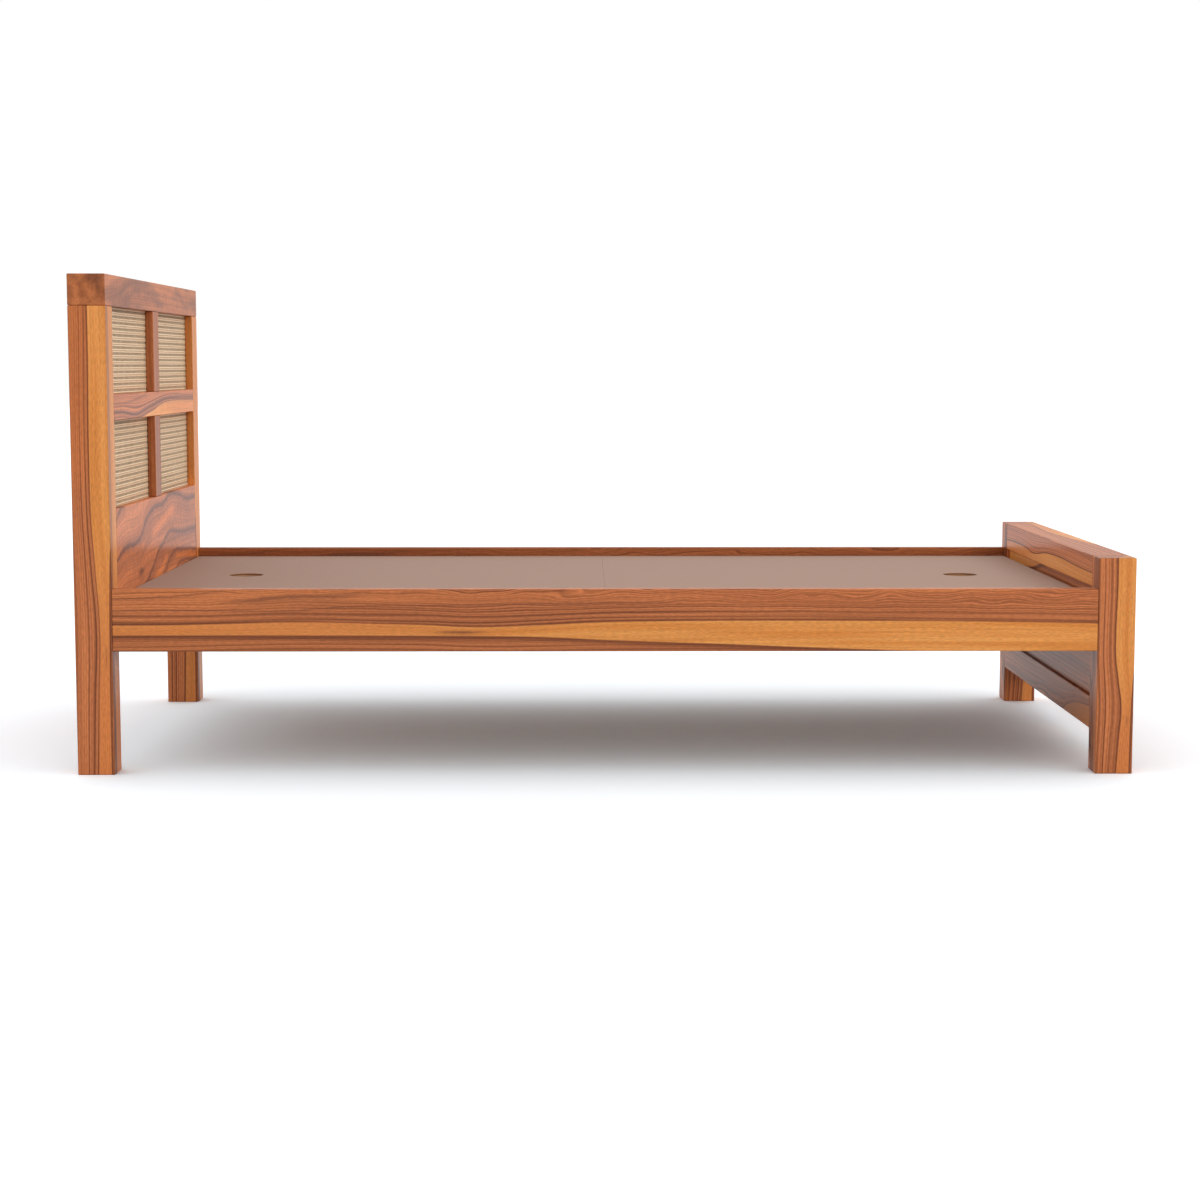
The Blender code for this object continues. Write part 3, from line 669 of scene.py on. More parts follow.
PANEL_MIDDLE_GLOW = ((0, 0.45), (0.40, 0.31), (0.466, 0.247), (0.63, 0.16), (0.75, 0.13), (1, 0.10))
PANEL_NEAR_GLOW = ((0, 0.40), (0.04, 0.38), (0.184, 0.344), (0.30, 0.33), (1, 0.30))
PANEL_FOOT_GLOW = ((0, 0.90), (0.437, 0.63), (0.524, 0.574), (0.573, 0.52), (1, 0.45))
PANEL_DECK_GLOW = ((0, 0.52), (0.738, 0.537), (0.864, 0.558), (1, 0.576))

# The panel's brightness is partly its own pale tone and partly painted light for its face toward the
# foot.
rosewood(
    "headboard_panel", HEADBOARD_WAYS, seed=11, flow=PANEL_UPPER_VEIN,
    veins=[(PANEL_UPPER_VEIN, 0.045, 0.85, -0.1, 1.0), (PANEL_LOWER_VEIN, 0.042, 0.8, 0.25, 1.0),
           (PANEL_CORNER_VEIN, 0.04, 0.8, -0.1, 0.08), (PANEL_FOOT_VEIN, 0.035, 0.75, 0.50, 1.0),
           (PANEL_DECK_VEIN, 0.03, 0.7, 0.66, 1.0), (PANEL_KNOT, 0.045, 1.0, 0.22, 0.27)],
    glows=[(PANEL_MIDDLE_GLOW, 0.075, 0.6, 0.38, 0.66), (PANEL_NEAR_GLOW, 0.045, 0.7, -0.1, 0.28),
           (PANEL_FOOT_GLOW, 0.05, 0.8, 0.36, 0.56), (PANEL_DECK_GLOW, 0.04, 0.8, 0.68, 1.0)],
    lines=0.3, mottle=0.2, stipple=0.6, brightness=1.38)

# %% [markdown]
# ## Headboard rails
# The mid rail carries a dark vein in a long S, with a fainter one above it at the near end and sapwood
# below it at the far end. The top rail has broad faint veins over soft patches. Both are made with the
# panel's function and curves of their own.

# %% Headboard rails
MID_VEIN = (
    (0, 0.70), (0.10, 0.70), (0.18, 0.78), (0.25, 0.84), (0.33, 0.74), (0.40, 0.60), (0.45, 0.52),
    (0.52, 0.40), (0.60, 0.30), (0.70, 0.27), (0.85, 0.29), (1, 0.33))
MID_SAP_EDGE = (
    (0, 1), (0.28, 1), (0.33, 0.97), (0.40, 0.85), (0.45, 0.77), (0.52, 0.60), (0.60, 0.47), (0.70, 0.43),
    (0.85, 0.44), (1, 0.48))
MID_TOP_VEIN = ((0, 0.36), (0.15, 0.35), (0.27, 0.24), (0.38, 0.10), (1, 0.0))
TOP_FLOW = ((0, 0.9), (0.15, 0.55), (0.26, 0.20), (0.40, 0.15), (0.60, 0.25), (0.80, 0.42), (1, 0.48))
TOP_NEAR_VEIN = ((0, 1), (0.10, 0.80), (0.15, 0.55), (0.20, 0.30), (0.26, 0.14), (0.33, 0.05), (1, 0))
TOP_MIDDLE_VEIN = ((0, 1), (0.20, 0.75), (0.26, 0.50), (0.32, 0.28), (0.40, 0.15), (1, 0))
TOP_FAR_VEIN = (
    (0, 0), (0.70, 0.10), (0.76, 0.22), (0.80, 0.40), (0.84, 0.62), (0.88, 0.66), (0.93, 0.55), (1, 0.48))

# The rails' brightness is partly their own tone and partly painted light, as on the panel.
rosewood(
    "headboard_mid_rail", HEADBOARD_WAYS, seed=14, flow=MID_VEIN, sap=(MID_SAP_EDGE,),
    veins=[(MID_VEIN, 0.14, 0.75, -0.1, 1.0), (MID_TOP_VEIN, 0.08, 0.5, -0.1, 0.34)],
    stipple=0.5, brightness=1.37)
rosewood(
    "headboard_top_rail", HEADBOARD_WAYS, seed=17, flow=TOP_FLOW,
    veins=[(TOP_NEAR_VEIN, 0.30, 0.35, 0.02, 0.30), (TOP_MIDDLE_VEIN, 0.26, 0.35, 0.14, 0.40),
           (TOP_FAR_VEIN, 0.26, 0.45, 0.70, 1.0)],
    lines=0.3, mottle=0.45, stipple=0.7, brightness=1.15)

# %% [markdown]
# ## Mullions and light frames
# The headboard has four openings with cane, which a joiner calls lights. Two mullions part them, and a
# frame holds each sheet of cane in its rebate from behind. All are plain narrow pieces, so their growth
# lines run straight, and the mullions' sides get painted shade like those of the posts.

# %% Mullions and light frames
STRAIGHT = ((0, 0.5), (1, 0.5))
LIGHT_LEVELS = ("upper", "lower")
LIGHT_SIDES = ("right", "left")
MULLION_WAYS = ("-Z", "+Y", "-X")
MULLION_SEED = 20
MULLION_DARK = 0.1
# Painted shade on both sides of each mullion, all along it.
MULLION_PAINTED_SHADE = (0, 0.26, 1.0)
FRAME_WAYS = ("+Y", "-Z", "+X")
FRAME_SEED = 23
FRAME_DARK = 0.2

for number, level in enumerate(LIGHT_LEVELS):
    rosewood(
        "headboard_mullion_" + level, MULLION_WAYS, MULLION_SEED + number, STRAIGHT, dark=MULLION_DARK,
        recess=MULLION_PAINTED_SHADE)
    for side in LIGHT_SIDES:
        light_frame = "cane_frame_" + level + "_" + side
        rosewood(light_frame, FRAME_WAYS, FRAME_SEED + number, STRAIGHT, dark=FRAME_DARK)

# %% [markdown]
# ## Footboard
# The footboard's top rail shows its inner face and its top. The inner face has heartwood over sapwood
# with a dark line between them, and on the top the sapwood comes back at the outer edge. A drawing for
# each face would not meet at the corner, so a tilt of the pattern, drawn as a curve, carries one drawing
# over both. The panel is heartwood with sapwood along its top at the far end, and the bottom rail has it
# at the near end.

# %% Footboard
FOOT_HEART_EDGE = (
    (0, 0.59), (0.17, 0.56), (0.34, 0.50), (0.43, 0.51), (0.51, 0.56), (0.60, 0.70), (0.65, 0.74),
    (0.72, 0.66), (0.81, 0.62), (1, 0.66))
FOOT_LEAN = (
    (0, 0.27), (0.28, 0.38), (0.37, 0.475), (0.43, 0.53), (0.51, 0.655), (0.57, 0.81), (0.65, 1.0),
    (0.74, 0.855), (0.87, 0.715), (1, 0.668))
FOOT_PANEL_SAP = ((0, 0.85), (0.20, 0.86), (0.30, 0.885), (0.42, 0.96), (0.50, 1), (1, 1))
FOOT_LOW_SAP = (
    (0, 1), (0.40, 1), (0.50, 0.86), (0.60, 1), (0.68, 1), (0.76, 0.72), (0.86, 0.45), (1, 0.30))

rosewood(
    "footboard_top_rail", ("+Y", "-Z", "+X"), seed=27, flow=FOOT_HEART_EDGE, sap=(FOOT_HEART_EDGE,),
    tilt=FOOT_LEAN, brightness=1.05)
rosewood(
    "footboard_panel", ("-Y", "+Z", "+X"), seed=29, flow=STRAIGHT, sap=(FOOT_PANEL_SAP,), lines=1.1)
rosewood(
    "footboard_bottom_rail", ("-Y", "-Z", "+X"), seed=30, flow=FOOT_LOW_SAP, sap=(FOOT_LOW_SAP,),
    lines=0.8)

# %% [markdown]
# ## Deck boards
# The deck boards are plywood faced with a matt taupe laminate, so their cut edges and the finger holes
# show thin layers of ply. The faces could be sorted by hand into two materials, but a finish can ask
# which way a face looks: flat faces get laminate, and all others get layers that are counted through the
# board.

# %% Deck boards
LAMINATE = picked(169, 140, 125)
LAMINATE_FLECK = picked(161, 132, 117)
LAMINATE_FLECK_SCALE = (60, 420, 420)
LAMINATE_FLECK_DETAIL = 4.0
LAMINATE_GRIT_SCALE = (900, 900, 900)
LAMINATE_BUMP = (0.1, 0.0003)
LAMINATE_ROUGHNESS = 0.72
LAMINATE_SPECULAR = 0.1
FLAT_FACE_RAMP = (0.5, 0.8)
PLY_LIGHT = picked(172, 128, 92)
PLY_DARK = picked(120, 80, 56)
PLY_LAYERS = 7
PLY_LAYER_RAMP = (0.42, 0.58)
PLY_STREAK_SCALE = (90, 90, 1500)
PLY_STREAK_RAMP = (0.4, 0.7, 0.0, 0.35)


def deck_laminate():
    """Matt laminate on the flat faces, and layers of ply on the cut ones."""
    material, tree, shader = new_material("deck_laminate")
    flecks = speckle(tree, LAMINATE_FLECK_SCALE, LAMINATE_FLECK_DETAIL)
    top = mix(tree, flecks, LAMINATE, LAMINATE_FLECK)
    height = share_of(tree, axes_of(tree, "Object"), span("deck_board_head", "+Z"))
    layer = calc(tree, "PINGPONG", times(tree, height, PLY_LAYERS), 1.0)
    ply = mix(tree, ramp(tree, layer, *PLY_LAYER_RAMP), PLY_DARK, PLY_LIGHT)
    ply = mix(tree, ramp(tree, speckle(tree, PLY_STREAK_SCALE), *PLY_STREAK_RAMP), ply, PLY_DARK)
    flat = ramp(tree, calc(tree, "ABSOLUTE", axes_of(tree, "Normal")["Z"]), *FLAT_FACE_RAMP)
    fill(tree, shader, {
        "Base Color": mix(tree, flat, ply, top),
        "Normal": bumped(tree, speckle(tree, LAMINATE_GRIT_SCALE), *LAMINATE_BUMP),
        "Roughness": LAMINATE_ROUGHNESS,
        "Specular IOR Level": LAMINATE_SPECULAR})
    return material


finish(deck_laminate(), "deck_board_head", "deck_board_foot")
print("deck boards finished with", PLY_LAYERS, "layers of ply")

# %% [markdown]
# ## Plain wood
# The bearers, ledgers and cleats under the deck are plain pale wood. The thin boards behind the cane are
# redder and carry painted shade on the front, so that the holes of the weave look dark. Only the tones,
# the painted shade and the way of the grain differ, so one function makes all of these finishes from two
# noises, one for lines and one for fibres.

# %% Plain wood
PINE_PALE = picked(206, 170, 122)
PINE_LINE = picked(176, 132, 86)
BACKING_PALE = picked(168, 108, 64)
BACKING_LINE = picked(138, 82, 46)
# Painted shade on the front of the backing boards, seen through the holes of the weave.
BACKING_PAINTED_SHADE = picked(110, 75, 48)
PAINTED_SHADE_RAMP = (0.4, 0.6, 0.0, 0.95)
PLAIN_LINE_SCALES = (2.2, 70.0)
PLAIN_LINE_DETAIL = 5.0
PLAIN_LINE_BREAKUP = 0.6
PLAIN_LINE_RAMP = (0.46, 0.66)
PLAIN_FIBRE_SCALES = (25.0, 1200.0)
PLAIN_FIBRE_RAMP = (0.3, 0.8, 0.0, 0.3)
PLAIN_BUMP = (0.2, 0.0004)
PLAIN_ROUGHNESS = 0.62


def nodes_named(*starts):
    """The nodes whose names start in one of these ways."""
    return [node for node in SOLIDS if node.startswith(starts)]


def plain_wood(name, axis, pale, line, painted_shade=None):
    """Planed wood of two tones, with its grain along one axis, and perhaps painted shade on its +X face.
    """
    material, tree, shader = new_material(name)
    line_scale, fibre_scale = [
        [along if way == axis else across for way in AXES]
        for along, across in (PLAIN_LINE_SCALES, PLAIN_FIBRE_SCALES)]
    lines = speckle(tree, line_scale, PLAIN_LINE_DETAIL, PLAIN_LINE_BREAKUP)
    fibres = speckle(tree, fibre_scale)
    colour = mix(tree, ramp(tree, lines, *PLAIN_LINE_RAMP), pale, line)
    colour = mix(tree, ramp(tree, fibres, *PLAIN_FIBRE_RAMP), colour, line)
    # Painted shade on the +X face, for the shade in the holes of the weave.
    if painted_shade:
        colour = mix(tree, ramp(tree, axes_of(tree, "Normal")["X"], *PAINTED_SHADE_RAMP), colour, painted_shade)
    fill(tree, shader, {
        "Base Color": colour, "Normal": bumped(tree, fibres, *PLAIN_BUMP), "Roughness": PLAIN_ROUGHNESS})
    return material


BEARERS = nodes_named("cross_bearer_")
BACKINGS = nodes_named("cane_backing_")
finish(plain_wood("plain_wood_long", "X", PINE_PALE, PINE_LINE), "ledger_right", "ledger_left")
finish(plain_wood("plain_wood_cross", "Y", PINE_PALE, PINE_LINE), "head_cleat", "foot_cleat", *BEARERS)
finish(plain_wood("cane_backing", "Y", BACKING_PALE, BACKING_LINE, BACKING_PAINTED_SHADE), *BACKINGS)
print(len(BEARERS), "bearers and", len(BACKINGS), "backing boards finished")

# %% [markdown]
# ## Zinc steel
# The bed bolts, the barrel nuts and the screws are zinc-plated steel. A plain metal shader would look
# like a mirror, but plating has a faint spangle, so one noise varies both the tone and the roughness.

# %% Zinc steel
ZINC_BRIGHT = picked(206, 206, 202)
ZINC_DULL = picked(170, 170, 166)
SPANGLE_SCALE = (700, 700, 700)
SPANGLE_DETAIL = 3.0
SPANGLE_ROUGHNESS = 0.2
ZINC_ROUGHNESS = 0.24


def zinc_steel():
    """Zinc plate with a faint spangle."""
    material, tree, shader = new_material("zinc_steel")
    spangle = speckle(tree, SPANGLE_SCALE, SPANGLE_DETAIL)
    fill(tree, shader, {
        "Base Color": mix(tree, spangle, ZINC_BRIGHT, ZINC_DULL),
        "Roughness": scaled(tree, spangle, SPANGLE_ROUGHNESS, ZINC_ROUGHNESS),
        "Metallic": 1.0})
    return material


STEEL = zinc_steel()
FITTINGS = nodes_named("bed_bolt_", "barrel_nut_")
finish(STEEL, *FITTINGS)
print(len(FITTINGS), "bolts and nuts finished")

# %% [markdown]
# ## Growing pieces with Geometry Nodes
# Cane strands and screws repeat by a rule, so they are grown by Geometry Nodes and not placed one by one.
# One helper starts a tree with named inputs, one closes it, and one runs a tree on an object and keeps
# what came out as a plain mesh, because a finished piece carries its shape in its own mesh.

# %% Geometry Nodes helpers


def new_grower(name, **inputs):
    """A Geometry Nodes tree with named inputs. Returns it and its inputs as sockets."""
    tree = bpy.data.node_groups.new(name, "GeometryNodeTree")
    tree.interface.new_socket("Geometry", in_out="INPUT", socket_type="NodeSocketGeometry")
    for label, kind in inputs.items():
        tree.interface.new_socket(label, in_out="INPUT", socket_type="NodeSocket" + kind)
    tree.interface.new_socket("Geometry", in_out="OUTPUT", socket_type="NodeSocketGeometry")
    return tree, add(tree, "NodeGroupInput").outputs


def end_grower(tree, geometry, material):
    """Close a tree: instances made real, one material, and the output."""
    real = add(tree, "GeometryNodeRealizeInstances", {0: geometry})
    painted = add(tree, "GeometryNodeSetMaterial", {"Geometry": real.outputs[0], "Material": material})
    add(tree, "NodeGroupOutput", {0: painted.outputs[0]})


def grown(name, tree, mesh, **values):
    """Run a tree on a mesh and keep the result as a plain mesh object at the origin."""
    piece = bpy.data.objects.new(name, mesh)
    bpy.context.scene.collection.objects.link(piece)
    grower = piece.modifiers.new("grower", "NODES")
    grower.node_group = tree
    for item in tree.interface.items_tree:
        if item.in_out == "INPUT" and item.name in values:
            grower[item.identifier] = values[item.name]
    piece.update_tag()
    evaluated = piece.evaluated_get(bpy.context.evaluated_depsgraph_get())
    shape = bpy.data.meshes.new_from_object(evaluated)
    piece.modifiers.remove(grower)
    piece.data = shape
    shape.name = name
    return piece


print("growers ready")

# %% [markdown]
# ## The cane's finish
# Cane is the skin of rattan, split into flat strands with a glossy crowned face. No two strands have the
# same tone, and each one changes a little along its length. One noise over the whole panel would run
# across strands, so the colour reads two values that the weave leaves on them: a tone for each strand and
# the run along it.

# %% Cane finish
CANE_PALE = picked(253, 224, 187)
CANE_DEEP = picked(239, 205, 164)
CANE_FLECK = picked(198, 160, 114)
CANE_FLECK_SCALE = (1400, 1400, 1400)
CANE_FLECK_RAMP = (0.58, 0.75, 0.0, 0.4)
CANE_BUMP = (0.15, 0.0002)
CANE_ROUGHNESS = 0.36
CANE_FLECK_ROUGHNESS = 0.2
CANE_SPECULAR = 0.3
TONE_SHARE = 0.55
DRIFT_ALONG = 26
DRIFT_APART = 91
DRIFT_DETAIL = 3.0
DRIFT_SHARE = 0.9
DRIFT_SHIFT = -0.25


def cane_skin():
    """Glossy strands, each of its own tone, that drift between two tones along their run."""
    material, tree, shader = new_material("cane")
    tone, strand_run = [
        add(tree, "ShaderNodeAttribute", attribute_name=name).outputs["Fac"]
        for name in ("strand_tone", "strand_run")]
    along = add(tree, "ShaderNodeCombineXYZ", {
        0: times(tree, strand_run, DRIFT_ALONG), 1: times(tree, tone, DRIFT_APART)})
    drift = scaled(tree, cloud(tree, along.outputs[0], DRIFT_DETAIL), DRIFT_SHARE, DRIFT_SHIFT)
    share = scaled(tree, tone, TONE_SHARE, drift)
    colour = mix(tree, ramp(tree, share, 0.0, 1.0), CANE_PALE, CANE_DEEP)
    flecks = speckle(tree, CANE_FLECK_SCALE)
    fill(tree, shader, {
        "Base Color": mix(tree, ramp(tree, flecks, *CANE_FLECK_RAMP), colour, CANE_FLECK),
        "Roughness": scaled(tree, flecks, CANE_FLECK_ROUGHNESS, CANE_ROUGHNESS),
        "Normal": bumped(tree, flecks, *CANE_BUMP),
        "Specular IOR Level": CANE_SPECULAR})
    return material


CANE = cane_skin()
print("cane finish has", len(CANE.node_tree.nodes), "nodes")

# %% [markdown]
# ## Waves of the weave
# The four lights hold six-way cane: upright pairs, level pairs woven over and under them, one set of
# diagonals over the uprights and under the levels, and the other set the opposite way, which leaves rows
# of eight-sided holes. A picture on a plane would look flat from the side, and the photograph looks along
# the cane, so every strand is a real one. Each strand starts as a straight line, and its height is a
# formula of its place in the mesh. With the mesh's pitch as the wave length, a level strand rises between
# uprights and an upright sinks between levels, and a smaller wave passes the two strands of a pair over
# and under in turn.

# %% Weave helpers
PAIR_SHARE = 1 / 6
LIFT_STEEPNESS = 0.6


def place_of(tree):
    """The X, Y and Z fields of the points."""
    position = add(tree, "GeometryNodeInputPosition").outputs[0]
    return add(tree, "ShaderNodeSeparateXYZ", {0: position}).outputs


def vector(tree, x=0.0, y=0.0, z=0.0):
    """A vector of three fields or numbers."""
    return add(tree, "ShaderNodeCombineXYZ", {0: x, 1: y, 2: z}).outputs[0]


def moved(tree, curves, **places):
    """The curves with some of their coordinates, named x, y and z, replaced."""
    here = place_of(tree)
    there = vector(tree, **{"x": here["X"], "y": here["Y"], "z": here["Z"], **places})
    return add(tree, "GeometryNodeSetPosition", {"Geometry": curves, "Position": there}).outputs[0]


def turn_of(tree, place, pitch):
    """A place as an angle that goes once round in every pitch."""
    return times(tree, calc(tree, "DIVIDE", place, pitch), 2 * math.pi)


def weave_waves(tree, place, pitch):
    """From the nearest pair: the wave that lifts a strand midway, the small one in the pair, the side."""
    steps = calc(tree, "ROUND", calc(tree, "DIVIDE", place, pitch))
    away = minus(tree, place, times(tree, steps, pitch))
    turn = turn_of(tree, away, pitch)
    lift = scaled(tree, calc(tree, "COSINE", turn), -LIFT_STEEPNESS, LIFT_STEEPNESS)
    near = calc(tree, "LESS_THAN", calc(tree, "ABSOLUTE", away), times(tree, pitch, 2 * PAIR_SHARE))
    cross = calc(tree, "SINE", times(tree, turn, 1 / (4 * PAIR_SHARE)))
    return calc(tree, "MINIMUM", lift, 1.0), times(tree, cross, near), calc(tree, "SIGN", away)


print("the strands of a pair lie", round(2 * PAIR_SHARE, 3), "of the pitch apart")

# %% [markdown]
# ## Level and upright strands
# Pairs stand at every pitch from the middle of a light, so that its two edges look alike. An Array
# modifier could copy one strand, but copies on points can be bent by their own place afterwards, which
# the weave needs.

# %% Level and upright strands
WEAVE_STEP = 1 / 6
INTERLACE = 0.00019


def line_of_points(tree, count, start, step):
    """Points in a row, from a start and by a step."""
    inputs = {"Count": count, "Start Location": start, "Offset": step}
    return add(tree, "GeometryNodeMeshLine", inputs, mode="OFFSET").outputs[0]


def copies_on(tree, points, curve_line):
    """A curve copied onto points and made real."""
    copies = add(tree, "GeometryNodeInstanceOnPoints", {"Points": points, "Instance": curve_line})
    return add(tree, "GeometryNodeRealizeInstances", {0: copies.outputs[0]}).outputs[0]


def pair_points(tree, half_count, pitch, offset, axis):
    """Points at every pitch from the middle, each one split into a pair."""
    count = scaled(tree, half_count, 2.0, 1.0)
    first = times(tree, half_count, pitch, -1.0)
    halves = add(tree, "GeometryNodeJoinGeometry")
    for side in (-1.0, 1.0):
        start = scaled(tree, offset, side, first)
        points = line_of_points(tree, count, vector(tree, **{axis: start}), vector(tree, **{axis: pitch}))
        tree.links.new(points, halves.inputs[0])
    return halves.outputs[0]


def straight_strands(tree, half_length, half_count, pitch, offset, layer, level):
    """The level pairs (level = 1) or the upright pairs (level = -1), woven through each other."""
    along, across = ("x", "y") if level > 0 else ("y", "x")
    line = add(tree, "GeometryNodeCurvePrimitiveLine", {
        "Start": vector(tree, **{along: times(tree, half_length, -1.0)}),
        "End": vector(tree, **{along: half_length})})
    steps = calc(tree, "DIVIDE", times(tree, half_length, 2.0), times(tree, pitch, WEAVE_STEP))
    stepped = add(tree, "GeometryNodeResampleCurve", {
        "Curve": line.outputs[0], "Count": calc(tree, "ADD", calc(tree, "ROUND", steps), 1.0)})
    strands = copies_on(tree, pair_points(tree, half_count, pitch, offset, across), stepped.outputs[0])
    here = place_of(tree)
    lift, cross, _ = weave_waves(tree, here[along.upper()], pitch)
    _, _, side = weave_waves(tree, here[across.upper()], pitch)
    height = times(tree, lift, times(tree, layer, level))
    height = scaled(tree, times(tree, cross, side), level * INTERLACE, height)
    return moved(tree, strands, z=height)


print("a strand has", round(1 / WEAVE_STEP), "steps for each pitch")

# %% [markdown]
# ## Diagonal strands
# The diagonals fill the whole light and stop at its edges. They could be made too long and cut by a
# Boolean, but that is slow. So each one starts as a line from 0 to 1 along Z, at the place where the
# diagonal crosses the middle of the light, and its two ends are then moved to where the diagonal meets
# the edges. The rising set stays flat between the other strands, and the falling set waves under the
# uprights and over the levels.

# %% Diagonal strands
DIAGONAL_STEEPNESS = 1.4
DIAGONAL_LAYERS = 2.0


def diagonal_strands(tree, half_width, half_height, pitch, layer, slope):
    """Diagonals that rise (slope = 1) or fall (slope = -1), cut off at the edges of the panel."""
    reach = calc(tree, "ADD", half_width, half_height)
    half_count = calc(tree, "FLOOR", calc(tree, "DIVIDE", reach, pitch))
    first = times(tree, minus(tree, half_count, 0.5), times(tree, pitch, -1.0))
    count = times(tree, half_count, 2.0)
    points = line_of_points(tree, count, vector(tree, x=first), vector(tree, x=pitch))
    upright = add(tree, "GeometryNodeCurvePrimitiveLine", {"Start": (0, 0, 0), "End": (0, 0, 1)})
    strands = copies_on(tree, points, upright.outputs[0])
    here = place_of(tree)
    crossing = here["X"]
    low = calc(tree, "MAXIMUM", times(tree, half_width, -1.0), minus(tree, crossing, half_height))
    high = calc(tree, "MINIMUM", half_width, calc(tree, "ADD", crossing, half_height))
    x = scaled(tree, here["Z"], minus(tree, high, low), low)
    strands = moved(tree, strands, x=x, y=times(tree, minus(tree, x, crossing), slope), z=0.0)
    if slope > 0:
        return strands
    step = times(tree, pitch, WEAVE_STEP * math.sqrt(2))
    stepped = add(tree, "GeometryNodeResampleCurve", {"Curve": strands, "Length": step}, mode="LENGTH")
    wave = calc(tree, "COSINE", turn_of(tree, place_of(tree)["X"], pitch))
    wave = calc(tree, "MINIMUM", times(tree, wave, DIAGONAL_STEEPNESS), 1.0)
    wave = calc(tree, "MAXIMUM", wave, -1.0)
    return moved(tree, stepped.outputs[0], z=times(tree, wave, times(tree, layer, -DIAGONAL_LAYERS)))


print("the falling diagonals move", DIAGONAL_LAYERS, "layers to each side")

# %% [markdown]
# ## Strands into cane
# A strand of cane is flat behind and crowned in front. A curve's own bevel is round, so a low triangle is
# swept along each strand and shaded smooth, which gives the crown for three faces a step.

# %% Strand solids
TRIANGLE_WIDTH = math.sqrt(3)
TRIANGLE_HEIGHT = 1.5


def strand_solids(tree, strands, width, thickness, seed):
    """Flat crowned strands along curves. Each one carries a tone of its own, and the run along it."""
    tone = add(tree, "FunctionNodeRandomValue", {"Seed": seed}, data_type="FLOAT").outputs[1]
    toned = add(tree, "GeometryNodeStoreNamedAttribute", {
        "Geometry": strands, "Name": "strand_tone", "Value": tone}, domain="CURVE")
    run = add(tree, "GeometryNodeSplineParameter").outputs["Length"]
    measured = add(tree, "GeometryNodeStoreNamedAttribute", {
        "Geometry": toned.outputs[0], "Name": "strand_run", "Value": run})
    level = add(tree, "GeometryNodeSetCurveNormal", {"Curve": measured.outputs[0]}, mode="Z_UP")
    section = add(tree, "GeometryNodeCurvePrimitiveCircle", {"Resolution": 3, "Radius": 1.0})
    flat = vector(
        tree, times(tree, width, 1 / TRIANGLE_WIDTH), times(tree, thickness, -1 / TRIANGLE_HEIGHT), 1.0)
    for change in ({"Rotation": (0, 0, math.pi / 2)}, {"Scale": flat}):
        section = add(tree, "GeometryNodeTransform", {"Geometry": section.outputs[0], **change})
    solid = add(tree, "GeometryNodeCurveToMesh", {
        "Curve": level.outputs[0], "Profile Curve": section.outputs[0], "Fill Caps": True})
    return add(tree, "GeometryNodeSetShadeSmooth", {"Geometry": solid.outputs[0]}).outputs[0]


print("strand section ready")

# %% [markdown]
# ## The four cane lights
# One tree joins the four sets of strands, with wider strands for the levels, because their rows read
# strongest in the photograph. It weaves flat in X and Y and then stands the cane up in its light. Each
# light is grown in place of its plain lattice, within the lattice's own size.

# %% Cane lights
CANE_PITCH = 0.0126
LEVEL_WIDTH = 0.0040
STRAND_WIDTH = 0.0022
STRAND_THICKNESS = 0.00032
STRAND_SEED = 5
STRAND_SEED_STEP = 53
STAND_UP = (math.pi / 2, 0, math.pi / 2)


def cane_weave():
    """The tree that weaves one light."""
    tree, given = new_grower(
        "cane_weave", Width="Float", Height="Float", Pitch="Float", Level_Width="Float",
        Strand_Width="Float", Strand_Thickness="Float", Centre="Vector", Seed="Int", Material="Material")
    pitch = given["Pitch"]
    layer = given["Strand_Thickness"]
    offset = times(tree, pitch, PAIR_SHARE)
    grid = times(tree, pitch, WEAVE_STEP)
    halves = [calc(tree, "SNAP", times(tree, given[size], 0.5), grid) for size in ("Width", "Height")]
    columns, rows = [
        calc(tree, "FLOOR", calc(tree, "DIVIDE", minus(tree, half, offset), pitch)) for half in halves]
    half_width, half_height = halves
    sets = (
        (straight_strands(tree, half_width, rows, pitch, offset, layer, 1), "Level_Width"),
        (straight_strands(tree, half_height, columns, pitch, offset, layer, -1), "Strand_Width"),
        (diagonal_strands(tree, half_width, half_height, pitch, layer, 1), "Strand_Width"),
        (diagonal_strands(tree, half_width, half_height, pitch, layer, -1), "Strand_Width"))
    woven = add(tree, "GeometryNodeJoinGeometry")
    for number, (strands, width) in enumerate(sets):
        seed = calc(tree, "ADD", given["Seed"], number * STRAND_SEED_STEP)
        tree.links.new(strand_solids(tree, strands, given[width], layer, seed), woven.inputs[0])
    stood = add(tree, "GeometryNodeTransform", {
        "Geometry": woven.outputs[0], "Rotation": STAND_UP, "Translation": given["Centre"]})
    end_grower(tree, stood.outputs[0], given["Material"])
    return tree


CANE_WEAVE = cane_weave()
LIGHTS = [level + "_" + side for level in LIGHT_LEVELS for side in LIGHT_SIDES]
for seed, light in enumerate(LIGHTS, STRAND_SEED):
    panel_node = "cane_panel_" + light
    low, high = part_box(panel_node)
    _, width, height = [b - a for a, b in zip(low, high)]
    woven = grown(
        "woven_cane_" + light, CANE_WEAVE, bpy.data.meshes.new("cane_start"), Width=width, Height=height,
        Pitch=CANE_PITCH, Level_Width=LEVEL_WIDTH, Strand_Width=STRAND_WIDTH,
        Strand_Thickness=STRAND_THICKNESS, Centre=[(a + b) / 2 for a, b in zip(low, high)], Seed=seed,
        Material=CANE)
    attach(woven, "bed_frame")
    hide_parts(panel_node)
    print(woven.name, len(woven.data.polygons), "faces")

# %% [markdown]
# ## Screw heads
# Countersunk screws hold the ledgers to the rails, the cleats to the headboard and footboard, and the
# bearers to the ledgers. They show when a deck board is lifted out. Each could be modelled where it sits,
# but one head, a low cone with a cross cut into it, can be made once and copied onto points that say
# which way their face looks.

